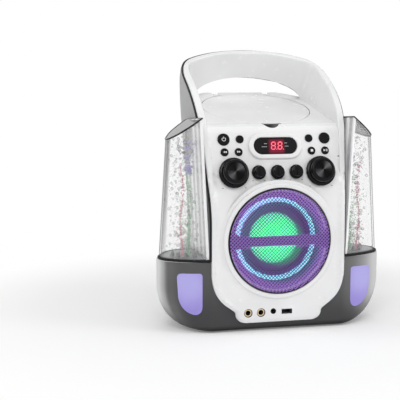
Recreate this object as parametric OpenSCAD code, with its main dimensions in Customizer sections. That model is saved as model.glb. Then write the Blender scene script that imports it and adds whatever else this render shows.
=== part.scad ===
// Table-top karaoke machine with a top-loading disc deck, a lit loudspeaker and two water tanks.
// +X is the viewer's right, +Y the back and +Z up; the origin is the middle of the footprint on
// the table. Inside the modules Y is measured from the front face of the fascia: at_front() moves it.

/* [Overall] */
// Height from the table to the top of the handle
body_h = 349; // [345:1:355]
// Width over the two side pods
body_w = 292; // [288:1:296]
// Depth from the grille to the back
body_d = 208; // [206:1:214]
// Height of the grey base
base_h = 90; // [88:1:92]
// Wall of the plastic shells
wall = 3; // [2.6:0.2:3.2]

/* [Front] */
// Half width of the front at its foot
fascia_x = 86; // [85:0.5:87]
// Height of the loudspeaker's centre
speaker_z = 114; // [112:1:115]
// Radius of the loudspeaker grille
grille_r = 66; // [64:0.5:66]
// Lean of the control panel from upright, degrees
panel_lean = 16.4; // [15:0.1:18]
// Diameter of the two large knobs
large_knob_d = 38; // [34:0.5:39]
// Diameter of the three small knobs
small_knob_d = 18; // [16:0.5:19]
// How far a button travels
button_travel = 1.2; // [0.8:0.1:1.2]

/* [Disc deck] */
// Slope of the deck, rising to the back, degrees
deck_slope = 13.6; // [12:0.1:14]
// Radius of the round lid
lid_r = 71.5; // [70:0.5:72]
// Radius of the disc well: a disc has a radius of 60
well_r = 64; // [62:0.5:64]
// How far the laser sled travels
sled_travel = 33; // [25:1:33]

/* [Handle] */
// Thickness of the lip round the front
lip = 8.5; // [7:0.5:9]
// Top of the hand hole at its middle
hole_top = 314; // [310:1:316]
// Half width of the hand hole
hole_x = 76; // [60:1:76]

/* [Water tanks] */
// Thickness of the clear wall
tank_wall = 2.5; // [2:0.1:3]
// Lean of the outer wall, degrees
tank_lean = 3.6; // [2:0.1:4]
// Height of the tank's top at its outer edge
tank_top = 243; // [230:1:245]

/* [Sockets] */
// Radius of a microphone socket's hole
mic_bore_r = 3.2; // [3.18:0.01:3.25]
// Radius of the line-in socket's hole
aux_bore_r = 1.8; // [1.77:0.01:1.85]

/* [Hidden] */
$fn = 64;

grille_front = 6;
fy = -body_d / 2 + grille_front;
back_y = body_d / 2 - fy;
front_layer = 2.4;
trim_layer = 1;
trim_depth = 4;
big = 500;

module at_front() { translate([0, fy, 0]) children(); }
module both_sides() {
    children();
    mirror([1, 0, 0]) children();
}

// A quadratic curve from a to c that leaves and arrives towards b.
function bend(a, b, c, n = 8) = [
    for (i = [0:n]) let (t = i / n) (1 - t) * (1 - t) * a + 2 * t * (1 - t) * b + t * t * c
];
// The closed outline of a half outline whose points run up from the foot at x > 0.
function whole(half) = concat(half, [
    for (i = [len(half) - 1:-1:0]) if (half[i][0] > 0.01) [-half[i][0], half[i][1]]
]);
// Every edge of an anticlockwise outline moved inwards by d.
function inset(p, d) = let (n = len(p)) [
    for (i = [0:n - 1])
        let (u = p[i] - p[(i + n - 1) % n], v = p[(i + 1) % n] - p[i])
        let (nu = [-u[1], u[0]] / norm(u), nv = [-v[1], v[0]] / norm(v))
        p[i] + d * (nu + nv) / (1 + nu * nv)
];
function ellipse(rx, ry, a0, a1, n) = [
    for (i = [0:n]) let (a = a0 + (a1 - a0) * i / n) [rx * cos(a), ry * sin(a)]
];
function moved(p, d) = [for (q = p) q + d];

// Extrusions of an outline in XZ along Y, and of one in YZ along X.
module along_y(p, y0, y1) { translate([0, y1, 0]) rotate([90, 0, 0]) linear_extrude(y1 - y0) polygon(p); }
module along_x(p, x0, x1) {
    translate([x0, 0, 0]) rotate([90, 0, 90]) linear_extrude(x1 - x0) polygon(p);
}

// ---- outlines of the upright column: its front (XZ), its side (YZ) and its plan (XY) ----
handle_x = fascia_x + 11;
column_front_half = concat(
    [[fascia_x, 2]],
    bend([fascia_x, 135], [fascia_x, 156], [fascia_x + 2, 180], 4),
    bend([fascia_x + 8.5, 258], [handle_x - 0.2, 287], [handle_x, 311], 4),
    bend([handle_x, 312], [handle_x + 0.5, 333], [handle_x - 19, body_h - 10.5], 6),
    bend([handle_x - 20, body_h - 10.2], [45, body_h - 0.2], [0, body_h], 7)
);
column_front = whole(column_front_half);

panel_y = 9;
panel_z = 186;
panel_top_z = 247;
panel_top_y = panel_y + (panel_top_z - panel_z) * tan(panel_lean);
bend_z = panel_z - panel_y / tan(panel_lean);
bend_run = 22;
handle_y = 165.5;
front_side = concat(
    bend([0, bend_z - bend_run], [0, bend_z],
         [bend_run * sin(panel_lean), bend_z + bend_run * cos(panel_lean)], 5),
    bend([panel_top_y, panel_top_z], [panel_top_y + 10.4, panel_top_z + 35.4], [90, 309.8], 8),
    [[handle_y - 8, body_h - 3.9], [handle_y, body_h - 0.6], [handle_y + 5, body_h + 4]],
    [[handle_y + 5, big], [big, big], [big, -20], [0, -20]]
);
back_side = concat(
    [[-60, -20], [back_y, -20]],
    [[back_y, 225], [back_y - 0.4, 240]],
    bend([back_y - 5.5, body_h - 49], [back_y - 11, body_h], [handle_y + 5.5, body_h], 10),
    [[-60, body_h]]
);

plan_mid_y = 118;
plan_x = handle_x + 1;
column_plan = concat(
    [[-plan_x, 0], [plan_x, 0]],
    moved(ellipse(plan_x, back_y - plan_mid_y, 0, 180, 26), [0, plan_mid_y])
);

// Everything behind the front surface, moved back and down by shift.
module behind_front(shift = 0) { translate([0, shift, -shift]) along_x(front_side, -150, 150); }
// The column from the foot to the handle: its sides, top and back drawn in by side, and its front
// surface moved back by shift.
module column(side = 0, shift = 0) {
    intersection() {
        along_y(inset(column_front, side), -1, big);
        behind_front(shift);
        along_x(inset(back_side, side), -150, 150);
        linear_extrude(big) polygon(inset(column_plan, side));
    }
}

// ---- deck and the open space above it ----
deck_y = 108;
deck_z = 274.1;
deck_rear_y = 186;
module deck_at() { translate([0, deck_y, deck_z]) rotate([deck_slope, 0, 0]) children(); }
pocket_tilt = 22;
pocket_x = handle_x - 13;
// The leaning space inside the handle, grown by grow, down to below the deck.
module pocket_walls(grow) {
    translate([0, plan_mid_y, hole_top]) rotate([pocket_tilt, 0, 0])
        linear_extrude(220, center = true)
            polygon(concat([[-pocket_x - grow, -160], [pocket_x + grow, -160]],
                           ellipse(pocket_x + grow, 49 + grow, 0, 180, 22)));
}
module above_deck() { deck_at() translate([-120, -120, 0]) cube([240, 240, 200]); }
module pocket() {
    intersection() {
        pocket_walls(0);
        above_deck();
    }
}
hole_z = 284;
deck_rear_z = deck_z + (deck_rear_y - deck_y) * tan(deck_slope) + 0.5;
// The crescent through the back under the handle.
module hand_hole(grow = 0) {
    rise = hole_top - hole_z + grow;
    foot = asin((deck_rear_z - grow - hole_z) / rise);
    along_y(moved(ellipse(hole_x + grow, rise, foot, 180 - foot, 18), [0, hole_z]), 120, back_y + 5);
}

sill_x = 72;
// The way from the deck out to the hand hole, where the pocket has no wall.
module deck_exit() {
    intersection() {
        above_deck();
        translate([-sill_x, plan_mid_y, deck_z])
            cube([2 * sill_x, deck_rear_y - plan_mid_y + 0.1, deck_rear_z - deck_z + 0.1]);
    }
}

// ---- the fascia's own outline, with the socket tray below it ----
tray_z = 12;
fascia_half = concat(
    bend([44, tray_z], [55, tray_z], [55.5, 22], 4),
    [[57, 27.5]],
    bend([67.5, 35.7], [84, 49], [fascia_x, 74], 6),
    [[fascia_x, 150], [handle_x + 4, 152], [handle_x + 4, 400]]
);
module fascia_area(y0, y1, side = 0) { along_y(inset(whole(fascia_half), side), y0, y1); }

// The base starts this far behind the fascia's face.
base_y = 4;

// ---- control panel ----
panel_hole_gap = 0.35;
module panel_at(x, z) {
    translate([x, panel_y + (z - panel_z) * tan(panel_lean), z])
        rotate([90 - panel_lean, 0, 0]) children();
}
upper_z = 239;
lower_z = 223.6;
knob_z = 198;
button_r = [7.5, 4.85, 4.8, 7, 4.8, 4.8, 4.8, 4.8];
button_x = [-65.7, -45, 45, 65.7, -65.5, -47.5, 47.5, 65.5];
button_z = [upper_z, upper_z, upper_z, upper_z, lower_z, lower_z, lower_z, lower_z];
large_knob_x = 56.3;
small_knob_x = 24.3;
knob_x = [-large_knob_x, large_knob_x, -small_knob_x, 0, small_knob_x];
shaft_r = 3;
shaft_gap = 0.05;
display_z = 230;
display_w = 56;
display_h = 21;
module stadium(w, h, t) {
    linear_extrude(t) union() {
        translate([-(w - h) / 2, -h / 2]) square([w - h, h]);
        for (s = [-1, 1]) translate([s * (w - h) / 2, 0]) circle(h / 2);
    }
}

// ---- loudspeaker, measured from the grille's centre line ----
module speaker_at() { translate([0, 0, speaker_z]) rotate([90, 0, 0]) children(); }
cup_floor = -19;
cup_wall = 2.6;
driver_r = 43;

// ---- sockets on the tray ----
socket_z = 24.8;
mic_x = [-40.3, -23.7];
aux_x = -7.9;
usb_x = 9.8;

// ---- side pods: plan of the tanks and of the base ----
tank_plan = concat(
    bend([88.6, 4], [116, 9], [131, 21], 6),
    bend([137, 26], [150, 42], [138, 61], 7),
    bend([134, 68], [122, 90], [104, 90], 5),
    [[88.6, 90]]
);
pod_plan_half = concat(
    bend([fascia_x, base_y], [116, base_y + 2], [132.6, 19], 6),
    bend([139, 24], [153, 42], [141, 62], 7),
    bend([137, 69], [122, 100], [handle_x + 1, 112], 5),
    moved(ellipse(handle_x + 1, back_y - plan_mid_y, 6, 90, 12), [0, plan_mid_y])
);
base_plan = whole(pod_plan_half);
base_front = whole(concat(
    moved([for (a = [-90:9:0]) [46 * cos(a), 56 * sin(a)]], [body_w / 2 - 46, 58]),
    [[body_w / 2, base_h + 20]]
));
module base_block(side = 0) {
    intersection() {
        linear_extrude(side > 0 ? big : base_h) polygon(inset(base_plan, side));
        along_y(inset(base_front, side), -1, big);
    }
}

// ---- screw posts that join the front to the back ----
post_y = 96;
post_spots = [[78, 100], [-78, 100], [79, 196], [-79, 196]];
function face_y(z) = max(0, (z - bend_z) * tan(panel_lean));
module at_posts() { for (p = post_spots) translate([p[0], 0, p[1]]) rotate([-90, 0, 0]) children(); }

module front_shell() {
    color("white") at_front() difference() {
        union() {
            intersection() {
                difference() {
                    column(0, 0);
                    behind_front(front_layer);
                }
                fascia_area(-1, big);
            }
            intersection() {
                column(0, 0);
                above_deck();
                difference() {
                    pocket_walls(front_layer);
                    pocket_walls(0);
                }
            }
            intersection() {
                difference() {
                    hand_hole(front_layer);
                    hand_hole(0);
                }
                translate([-100, 150, deck_rear_z]) cube([200, deck_rear_y - 150, 40]);
                column(wall, front_layer + trim_layer);
            }
            intersection() {
                difference() {
                    fascia_area(front_layer - 0.1, base_y);
                    fascia_area(-1, 20, wall);
                }
                translate([-100, -1, 0]) cube([200, 20, base_h]);
            }
            speaker_at() translate([0, 0, cup_floor - cup_wall])
                cylinder(r = grille_r + 6, h = cup_wall - cup_floor + 3);
            for (p = post_spots) translate([p[0], face_y(p[1]) + 1, p[1]]) rotate([-90, 0, 0])
                cylinder(r = 4.5, h = post_y - face_y(p[1]) - 1);
        }
        pocket();
        deck_exit();
        hand_hole(0);
        speaker_at() translate([0, 0, cup_floor - 5]) cylinder(r = driver_r, h = 10);
        speaker_at() translate([0, 0, cup_floor]) cylinder(r = grille_r - 5, h = 60);
        speaker_at() translate([0, 0, ledge_front]) cylinder(r = grille_r + 0.05, h = 60);
        for (i = [0:7]) panel_at(button_x[i], button_z[i])
            translate([0, 0, -8]) cylinder(r = button_r[i] + panel_hole_gap, h = 16);
        for (i = [0:4]) panel_at(knob_x[i], knob_z)
            translate([0, 0, -8]) cylinder(r = shaft_r + 1.4, h = 16);
        panel_at(0, display_z) translate([0, 0, -8]) stadium(display_w + 4, display_h + 4, 16);
        for (x = mic_x) translate([x, 8, socket_z]) rotate([90, 0, 0]) cylinder(r = 5.45, h = 20);
        translate([aux_x, 8, socket_z + 1]) rotate([90, 0, 0]) cylinder(r = 3.6, h = 20);
        translate([usb_x - 6.9, -5, socket_z - 3.1]) cube([13.8, 20, 6.2]);
        at_posts() translate([0, 0, post_y - 22]) cylinder(r = 1.3, h = 30);
        translate([0, 20, 266.4]) rotate([-90, 0, 0]) cylinder(r = 14.3, h = 26);
    }
}

// Clear wells in the rear shell, one to each post of the front shell.
module rear_posts() {
    intersection() {
        at_posts() translate([0, 0, post_y]) cylinder(r = 5.6, h = 120);
        column(wall - 0.5, 6);
    }
}
module rear_shell() {
    color("dimgray") at_front() difference() {
        union() {
            difference() {
                column(0, front_layer + trim_layer);
                column(wall, front_layer);
            }
            intersection() {
                difference() {
                    hand_hole(wall);
                    hand_hole(0);
                }
                translate([-100, deck_rear_y, 280]) cube([200, 60, 40]);
                column(0, front_layer + trim_layer);
            }
            rear_posts();
        }
        hand_hole(0);
        translate([-200, -10, -1]) cube([400, 300, base_h + 1.1]);
        at_posts() translate([0, 0, post_y + 3]) cylinder(r = 3.6, h = 130);
        at_posts() translate([0, 0, post_y - 1]) cylinder(r = 1.7, h = 10);
        for (i = [-5:5]) translate([i * 9 - 2, back_y - 12, 120]) cube([4, 20, 60]);
    }
}
board_posts = [[-40, 20], [10, 20]];
module base_shell() {
    color("dimgray") at_front() for (p = board_posts)
        translate([p[0], p[1], wall]) cylinder(r = 3, h = 16.7 - wall);
    color("dimgray") at_front() difference() {
        base_block();
        difference() {
            base_block(wall);
            both_sides() translate([fascia_x + 2, -10, base_h - wall]) cube([80, 300, 60]);
        }
        translate([-fascia_x + 12, -1, 38]) cube([2 * fascia_x - 24, 30, 80]);
        translate([-50, -1, tray_z + 3]) cube([70, 30, 20]);
        both_sides() {
            translate([pump_x, pump_y, base_h - wall - 1]) cylinder(r = 17, h = 20);
            side_window_cut(0.15);
        }
        translate([inlet_x - inlet_w / 2, back_y - 10, inlet_z - inlet_h / 2])
            cube([inlet_w, 20, inlet_h]);
    }
}
inlet_x = 0;
inlet_z = 34;
inlet_w = 20;
inlet_h = 12;

window_in_x = 97;
window_out_x = 127;
window_low = 25;
window_high = 76;
window_outline = concat(
    bend([window_in_x, window_low + 5], [window_in_x, window_low], [window_in_x + 5, window_low], 3),
    bend([window_in_x + 7, window_low], [window_out_x, window_low + 3], [window_out_x, 50], 8),
    bend([window_out_x, window_high - 5], [window_out_x, window_high],
         [window_out_x - 5, window_high], 3),
    bend([window_in_x + 4, window_high], [window_in_x, window_high],
         [window_in_x, window_high - 4], 3)
);
module side_window_cut(grow) { along_y(inset(window_outline, -grow), -5, 34); }
module side_window() {
    intersection() {
        difference() {
            base_block();
            base_block(wall);
        }
        side_window_cut(0);
    }
}
module left_window() { color("plum") at_front() mirror([1, 0, 0]) side_window(); }
module right_window() { color("plum") at_front() side_window(); }

// A thin black line between the white front and the grey back.
module edge_trim() {
    color("black") at_front() difference() {
        column(0, front_layer);
        behind_front(front_layer + trim_layer);
        along_y(inset(column_front, trim_depth), -5, big);
        translate([-200, -10, -1]) cube([400, 300, base_h + 1.1]);
    }
}

foot_r = 8;
foot_spots = [[-88, 34], [88, 34], [-62, 168], [62, 168]];
module feet() {
    color("black") at_front() for (p = foot_spots)
        translate([p[0], p[1], 0]) cylinder(r = foot_r, h = 2);
}

module case_screws() {
    color("silver") at_front() at_posts() difference() {
        union() {
            translate([0, 0, post_y - 18]) cylinder(r = 1.25, h = 21.2);
            translate([0, 0, post_y + 3]) cylinder(r = 3, h = 2.2);
        }
        translate([0, 0, post_y + 4.2]) cylinder(r = 1.6, h = 3, $fn = 6);
    }
}

// ---- disc deck: everything below is drawn square to the sloping deck ----
deck_t = 3;
lid_gap = 0.5;
lid_recess = 6.5;
well_depth = 14;
hub_r = 15;
hinge_v = 74;
hinge_w = -3.6;
hinge_x = 36;
hinge_pin_r = 2;
module deck_well() {
    color("white") at_front() intersection() {
        column(wall + 0.2, front_layer + trim_layer);
        translate([-200, -1, 0]) cube([400, deck_rear_y + 0.9, body_h]);
        deck_at() difference() {
            union() {
                translate([-100, -76, -deck_t]) cube([200, 76 + 80, deck_t]);
                translate([0, 0, -lid_recess - 2.5]) cylinder(r = lid_r + 3, h = lid_recess + 2);
                translate([0, 0, -well_depth - 2.5]) cylinder(r = well_r + 2.5, h = well_depth);
                for (s = [-1, 1]) translate([s * hinge_x - 10, 60, -12]) cube([20, 20, 11]);
            }
            translate([0, 0, -lid_recess]) cylinder(r = lid_r + lid_gap, h = 20);
            translate([0, 0, -well_depth]) cylinder(r = well_r, h = 20);
            translate([0, 0, -30]) cylinder(r = hub_r + 1.5, h = 40);
            translate([18, -9.5, -30]) cube([43, 19, 30]);
            for (s = [-1, 1]) translate([s * hinge_x - 4.6, 52, -10.5]) cube([9.2, 30, 20]);
            for (s = [-1, 1]) translate([s * hinge_x, hinge_v, hinge_w]) rotate([0, 90, 0])
                cylinder(r = hinge_pin_r + 0.06, h = 18, center = true);
            translate([0, -82, 8.5]) rotate([90 - deck_slope, 0, 0])
                cylinder(r = 14.3, h = 30, center = true);
        }
    }
}

// What comes off below the lid's rear edge, so that it swings clear of the deck.
lid_undercut = [
    [lid_r + 0.1, -0.15], [lid_r - 1.3, -1], [lid_r - 2.1, -3.4], [lid_r - 2.1, -9], [lid_r + 2, -9],
    [lid_r + 2, -0.15]
];
module disc_lid() {
    color("white") at_front() deck_at() {
        difference() {
            union() {
                translate([0, 0, -3]) cylinder(r = lid_r, h = 3);
                translate([0, 0, -5.5]) cylinder(r = lid_r, h = 3);
                for (s = [-1, 1]) translate([s * hinge_x, 0, 0]) {
                    translate([-4, 52, -5.5]) cube([8, hinge_v - 52, 5.5]);
                    translate([0, hinge_v, hinge_w]) rotate([0, 90, 0])
                        cylinder(r = 4, h = 8, center = true);
                    translate([0, hinge_v, hinge_w]) rotate([0, 90, 0])
                        cylinder(r = hinge_pin_r, h = 17, center = true);
                }
            }
            translate([0, 0, -8]) cylinder(r = lid_r - 2.5, h = 5);
            intersection() {
                rotate_extrude() polygon(lid_undercut);
                translate([-hinge_x + 4.2, 50, -10]) cube([2 * hinge_x - 8.4, 30, 12]);
            }
        }
    }
}
clamp_r = 15.5;
clamp_bore_r = 12.2;
clamp_low = -8.4;
module lid_clamp() {
    color("gray") at_front() deck_at() difference() {
        translate([0, 0, clamp_low]) cylinder(r = clamp_r, h = -3 - clamp_low);
        translate([0, 0, clamp_low - 0.4]) cylinder(r = clamp_bore_r, h = 4);
    }
}

disc_seat = -10;
module turntable() {
    color("gray") at_front() deck_at() {
        translate([0, 0, disc_seat - 2.5]) cylinder(r = hub_r, h = 2.5);
        difference() {
            translate([0, 0, disc_seat - 0.1]) cylinder(r = 7.3, h = 2.5);
            translate([0, 0, disc_seat + 1]) cylinder(r = 4, h = 3);
        }
        translate([0, 0, -24]) cylinder(r = 1, h = 12);
        for (a = [0, 120, 240]) rotate(a) translate([6.6, 0, disc_seat + 1]) sphere(r = 1, $fn = 24);
    }
}
chassis_top = -25.2;
module spindle_motor() {
    color("silver") at_front() deck_at() difference() {
        translate([0, 0, chassis_top]) cylinder(r = 11, h = 11);
        translate([0, 0, chassis_top + 1]) cylinder(r = 1.05, h = 12);
    }
}
rod_y = 17;
rod_z = -21.6;
rod_r = 1.5;
rod_x0 = 12.5;
rod_x1 = 74;
gear_m = 0.75;
pinion_teeth = 16;
wheel_teeth = 38;
drive_teeth = 10;
pinion_r = gear_m * pinion_teeth / 2;
wheel_r = gear_m * wheel_teeth / 2;
drive_r = gear_m * drive_teeth / 2;
gear_x = 40;
rack_line = 24.5;
gear_y = rack_line + pinion_r;
drive_x = gear_x + wheel_r + drive_r;
backlash = 0.12;
chassis_posts = [[-14, -24], [-14, 40], [55, -26], [22, 41]];
module mech_chassis() {
    color("darkgray") at_front() deck_at() difference() {
        union() {
            translate([-20, -30, chassis_top - 2.5]) cube([100, 76, 2.5]);
            for (x = [rod_x0 - 4, rod_x1 - 1], s = [-1, 1])
                translate([x, s * rod_y - 3, chassis_top]) cube([5, 6, 5.6]);
            for (p = chassis_posts) translate([p[0], p[1], chassis_top])
                cylinder(r = 4, h = -well_depth - 2.5 - chassis_top);
            translate([gear_x, gear_y, chassis_top]) cylinder(r = 1.5, h = 7.4);
        }
        translate([13.5, -22, chassis_top - 5]) cube([59.5, 50.4, 10]);
        translate([0, 0, chassis_top - 5]) cylinder(r = 1.5, h = 10);
        for (x = [rod_x0, rod_x1 - 3], s = [-1, 1])
            translate([x - 0.1, s * rod_y, rod_z]) rotate([0, 90, 0]) cylinder(r = rod_r, h = 3.2);
        translate([drive_x, gear_y, chassis_top - 5]) cylinder(r = 2.5, h = 10);
        for (p = chassis_posts) translate([p[0], p[1], chassis_top - 5]) cylinder(r = 1.3, h = 10);
    }
}
module guide_rods() {
    color("silver") at_front() deck_at() for (s = [-1, 1])
        translate([rod_x0, s * rod_y, rod_z]) rotate([0, 90, 0])
            cylinder(r = rod_r, h = rod_x1 - rod_x0);
}
sled_x0 = 14.5;
sled_w = 18;
module laser_sled() {
    color("black") at_front() deck_at() {
        difference() {
            union() {
                translate([sled_x0, -20.5, -24.6]) cube([sled_w, 43, 4.6]);
                translate([sled_x0, 20.5, -24]) cube([sled_w, rack_line - 21.5, 3]);
                rack();
                translate([sled_x0 + 2, -8, -21]) cube([sled_w - 5, 16, 4]);
            }
            for (s = [-1, 1]) translate([sled_x0 - 1, s * rod_y, rod_z]) rotate([0, 90, 0])
                cylinder(r = rod_r + 0.06, h = sled_w + 2);
        }
        translate([sled_x0 + 9, 0, -17.1]) cylinder(r = 4, h = 4.4);
        translate([sled_x0 + 9, 0, -13.4]) sphere(r = 2.5, $fn = 32);
    }
}
rack_z = -24;
rack_h = 3;
rack_pitch = PI * gear_m;
// Straight-sided teeth, a gap centred on the gear's axis at rest.
module rack() {
    tip = gear_m;
    root = 1.2 * gear_m;
    slope = tan(20);
    half = rack_pitch / 4 - backlash / 2;
    translate([0, 0, rack_z]) linear_extrude(rack_h) union() {
        translate([gear_x - sled_travel - 5, rack_line - root - 1.9])
            square([sled_travel + 10, 2]);
        for (i = [-15:1]) translate([gear_x + (i + 0.5) * rack_pitch, rack_line]) polygon([
            [-half - root * slope, -root], [half + root * slope, -root],
            [half - tip * slope, tip], [-half + tip * slope, tip]
        ]);
    }
}
// An involute gear of module gear_m, a tooth centred on the direction turn.
module gear_teeth(teeth, turn = 0) {
    r = gear_m * teeth / 2;
    base = r * cos(20);
    tip = r + gear_m * 0.95;
    root = r - gear_m * 1.2;
    half = 90 / teeth - backlash / 2 / r * 180 / PI;
    inv20 = (tan(20) - 20 * PI / 180) * 180 / PI;
    start = max(base, root + 0.01);
    function flank(q) = let (a = acos(min(1, base / q))) half + inv20 - (tan(a) * 180 / PI - a);
    polygon([for (i = [0:teeth - 1]) let (c = turn + i * 360 / teeth) each concat(
        [root * [cos(c - 180 / teeth), sin(c - 180 / teeth)]],
        [root * [cos(c - flank(start) - 1), sin(c - flank(start) - 1)]],
        [for (k = [0:4]) let (q = start + (tip - start) * k / 4)
            q * [cos(c - flank(q)), sin(c - flank(q))]],
        [for (k = [4:-1:0]) let (q = start + (tip - start) * k / 4)
            q * [cos(c + flank(q)), sin(c + flank(q))]],
        [root * [cos(c + flank(start) + 1), sin(c + flank(start) + 1)]]
    )]);
}
wheel_z = -19.7;
wheel_h = 2;
module sled_gear() {
    color("ivory") at_front() deck_at() translate([gear_x, gear_y, 0]) difference() {
        union() {
            translate([0, 0, rack_z]) linear_extrude(wheel_z - rack_z + 0.1)
                gear_teeth(pinion_teeth, -90);
            translate([0, 0, wheel_z]) linear_extrude(wheel_h) gear_teeth(wheel_teeth, 0);
        }
        translate([0, 0, rack_z - 1]) cylinder(r = 1.56, h = 10);
    }
}
module motor_pinion() {
    color("ivory") at_front() deck_at() translate([drive_x, gear_y, 0]) {
        translate([0, 0, wheel_z]) linear_extrude(wheel_h + 0.4) difference() {
            gear_teeth(drive_teeth, 180 + 180 / drive_teeth);
            circle(0.6);
        }
        translate([0, 0, chassis_top - 9]) cylinder(r = 0.8, h = wheel_z - chassis_top + 11.2);
    }
}
module sled_motor() {
    color("silver") at_front() deck_at() translate([drive_x, gear_y, 0]) difference() {
        translate([0, 0, chassis_top - 2.5 - 14]) cylinder(r = 9, h = 14);
        translate([0, 0, chassis_top - 12]) cylinder(r = 0.85, h = 20);
    }
}

// ---- loudspeaker ----
ledge_front = -3;
module speaker_grille() {
    color("mediumpurple") at_front() speaker_at() {
        for (s = [0, 1]) translate([0, 0, grille_front - 1 + s * 0.5]) linear_extrude(0.5)
            intersection() {
                circle(grille_r - 0.5);
                for (i = [-10:10]) rotate(45 + 90 * s) translate([i * 6.2 - 0.6, -70])
                    square([1.2, 140]);
            }
        difference() {
            translate([0, 0, ledge_front]) cylinder(r = grille_r, h = grille_front - ledge_front);
            translate([0, 0, ledge_front - 1]) cylinder(r = grille_r - 1.5, h = 20);
        }
    }
}
module lamp_bar() {
    bar_r = grille_r - 1.6;
    color("mediumpurple") at_front() speaker_at() translate([0, 0, ledge_front]) linear_extrude(3)
        intersection() {
            circle(bar_r);
            polygon([[-bar_r, -14], [-48, -6], [48, -6], [bar_r, -14],
                     [bar_r, 14], [48, 5.6], [-48, 5.6], [-bar_r, 14]]);
        }
}
module light_ring() {
    color("lightskyblue") at_front() speaker_at() difference() {
        translate([0, 0, cup_floor]) cylinder(r = 52, h = 5);
        translate([0, 0, cup_floor - 1]) cylinder(r = 47.2, h = 8);
    }
}
magnet_back = -62;
cone_r = 32.8;
basket_r = 41.5;
module speaker_basket() {
    color("gray") at_front() speaker_at() difference() {
        union() {
            translate([0, 0, cup_floor - cup_wall - 2]) cylinder(r = 50, h = 2);
            translate([0, 0, -48]) cylinder(r1 = 26, r2 = 44, h = 48 + cup_floor - cup_wall - 1);
        }
        translate([0, 0, cup_floor - cup_wall - 3]) cylinder(r = basket_r, h = 6);
        translate([0, 0, -45.5]) cylinder(r1 = 23.6, r2 = basket_r, h = 45.5 + cup_floor - cup_wall - 3 + 0.01);
        for (a = [0:60:300]) rotate(a + 30) translate([20, -8, -43]) cube([40, 16, 15]);
        translate([0, 0, -60]) cylinder(r = 13, h = 20);
    }
}
module speaker_magnet() {
    color("darkslategray") at_front() speaker_at() difference() {
        union() {
            translate([0, 0, magnet_back]) cylinder(r = 27, h = 14);
            translate([0, 0, -52]) cylinder(r = 9.4, h = 12);
        }
        difference() {
            translate([0, 0, -58]) cylinder(r = 12.6, h = 20);
            translate([0, 0, -59]) cylinder(r = 9.4, h = 30);
        }
    }
}
module speaker_cone() {
    color("palegreen") at_front() speaker_at() {
        rotate_extrude() polygon([[10.4, -38], [11.6, -38], [cone_r, -25], [cone_r, -24.2], [11, -37]]);
        rotate_extrude() polygon([[10.4, -37.8], [10.4, -52], [11.6, -52], [11.6, -37.8]]);
        rotate_extrude() polygon(concat([[0, -33], [11.2, -37.6], [11.8, -36.8]],
                                        [for (a = [20:14:90]) [12.5 * cos(a), -40 + 9 * sin(a)]]));
    }
}
module speaker_surround() {
    roll_r = (basket_r - cone_r) / 2 - 0.04;
    color("black") at_front() speaker_at() rotate_extrude() difference() {
        translate([(basket_r + cone_r) / 2, -24.6]) circle(roll_r);
        translate([(basket_r + cone_r) / 2, -24.6]) circle(roll_r - 0.8);
        translate([30, -40]) square([20, 15.4]);
    }
}

// ---- control panel ----
board_t = 1.6;
board_w = -15;
module control_board() {
    color("darkgreen") at_front() difference() {
        union() {
            panel_at(0, 218) translate([-72, -30, board_w]) cube([144, 56, board_t]);
            for (i = [0:7]) panel_at(button_x[i], button_z[i]) translate([0, 0, board_w + 0.1])
                cylinder(r = 2.5, h = -10.1 - button_travel - board_w - 0.1);
        }
        for (i = [0:4]) panel_at(knob_x[i], knob_z) translate([0, 0, board_w - 1])
            cylinder(r = 1.5, h = 4);
    }
}
pot_r = 8.2;
module potentiometers() {
    color("silver") at_front() for (x = knob_x) panel_at(x, knob_z) difference() {
        union() {
            translate([0, 0, board_w + board_t]) cylinder(r = pot_r, h = 8);
            translate([0, 0, -6]) cylinder(r = shaft_r + 1.2, h = 7);
        }
        translate([0, 0, -12]) cylinder(r = shaft_r + shaft_gap, h = 20);
    }
}
module knob(r_skirt, h_skirt, r_body, r_cap, h) {
    rotate_extrude() polygon([
        [0, 1.6], [r_skirt - 0.6, 1.6], [r_skirt, 2.2], [r_skirt, h_skirt], [r_skirt - 1, h_skirt + 1],
        [r_body + 1, h_skirt + 1], [r_body, h_skirt + 2], [r_body - 0.8, h - 1.4], [r_body - 2, h],
        [r_cap, h], [r_cap - 0.6, h - 0.8], [0, h + 0.4]
    ]);
    translate([0, 0, -11]) cylinder(r = shaft_r, h = 14);
}
module large_knob(x) {
    color("black") at_front() panel_at(x, knob_z)
        knob(large_knob_d / 2, 5, large_knob_d / 2 - 3.5, large_knob_d / 2 - 8, 15);
}
module small_knob(x) {
    color("black") at_front() panel_at(x, knob_z) {
        knob(small_knob_d / 2, 3, small_knob_d / 2 - 1.6, small_knob_d / 2 - 4.4, 11);
        translate([-1.4, -6, 9]) cube([2.8, 12, 4]);
    }
}
module microphone_knob() { large_knob(-large_knob_x); }
module volume_knob() { large_knob(large_knob_x); }
module echo_knob() { small_knob(-small_knob_x); }
module balance_knob() { small_knob(0); }
module treble_knob() { small_knob(small_knob_x); }

// A button: cap, retaining flange behind the panel and a stem to its switch on the board.
module button(i) {
    color("black") at_front() panel_at(button_x[i], button_z[i]) {
        translate([0, 0, -4]) cylinder(r = button_r[i], h = 6);
        translate([0, 0, -4.6]) cylinder(r = button_r[i] + 1.2, h = 1.3);
        translate([0, 0, -10]) cylinder(r = 2, h = 6);
    }
}
module power_button() { button(0); }
module source_button() { button(1); }
module light_button() { button(2); }
module repeat_button() { button(3); }
module previous_button() { button(4); }
module next_button() { button(5); }
module stop_button() { button(6); }
module play_button() { button(7); }

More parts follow.
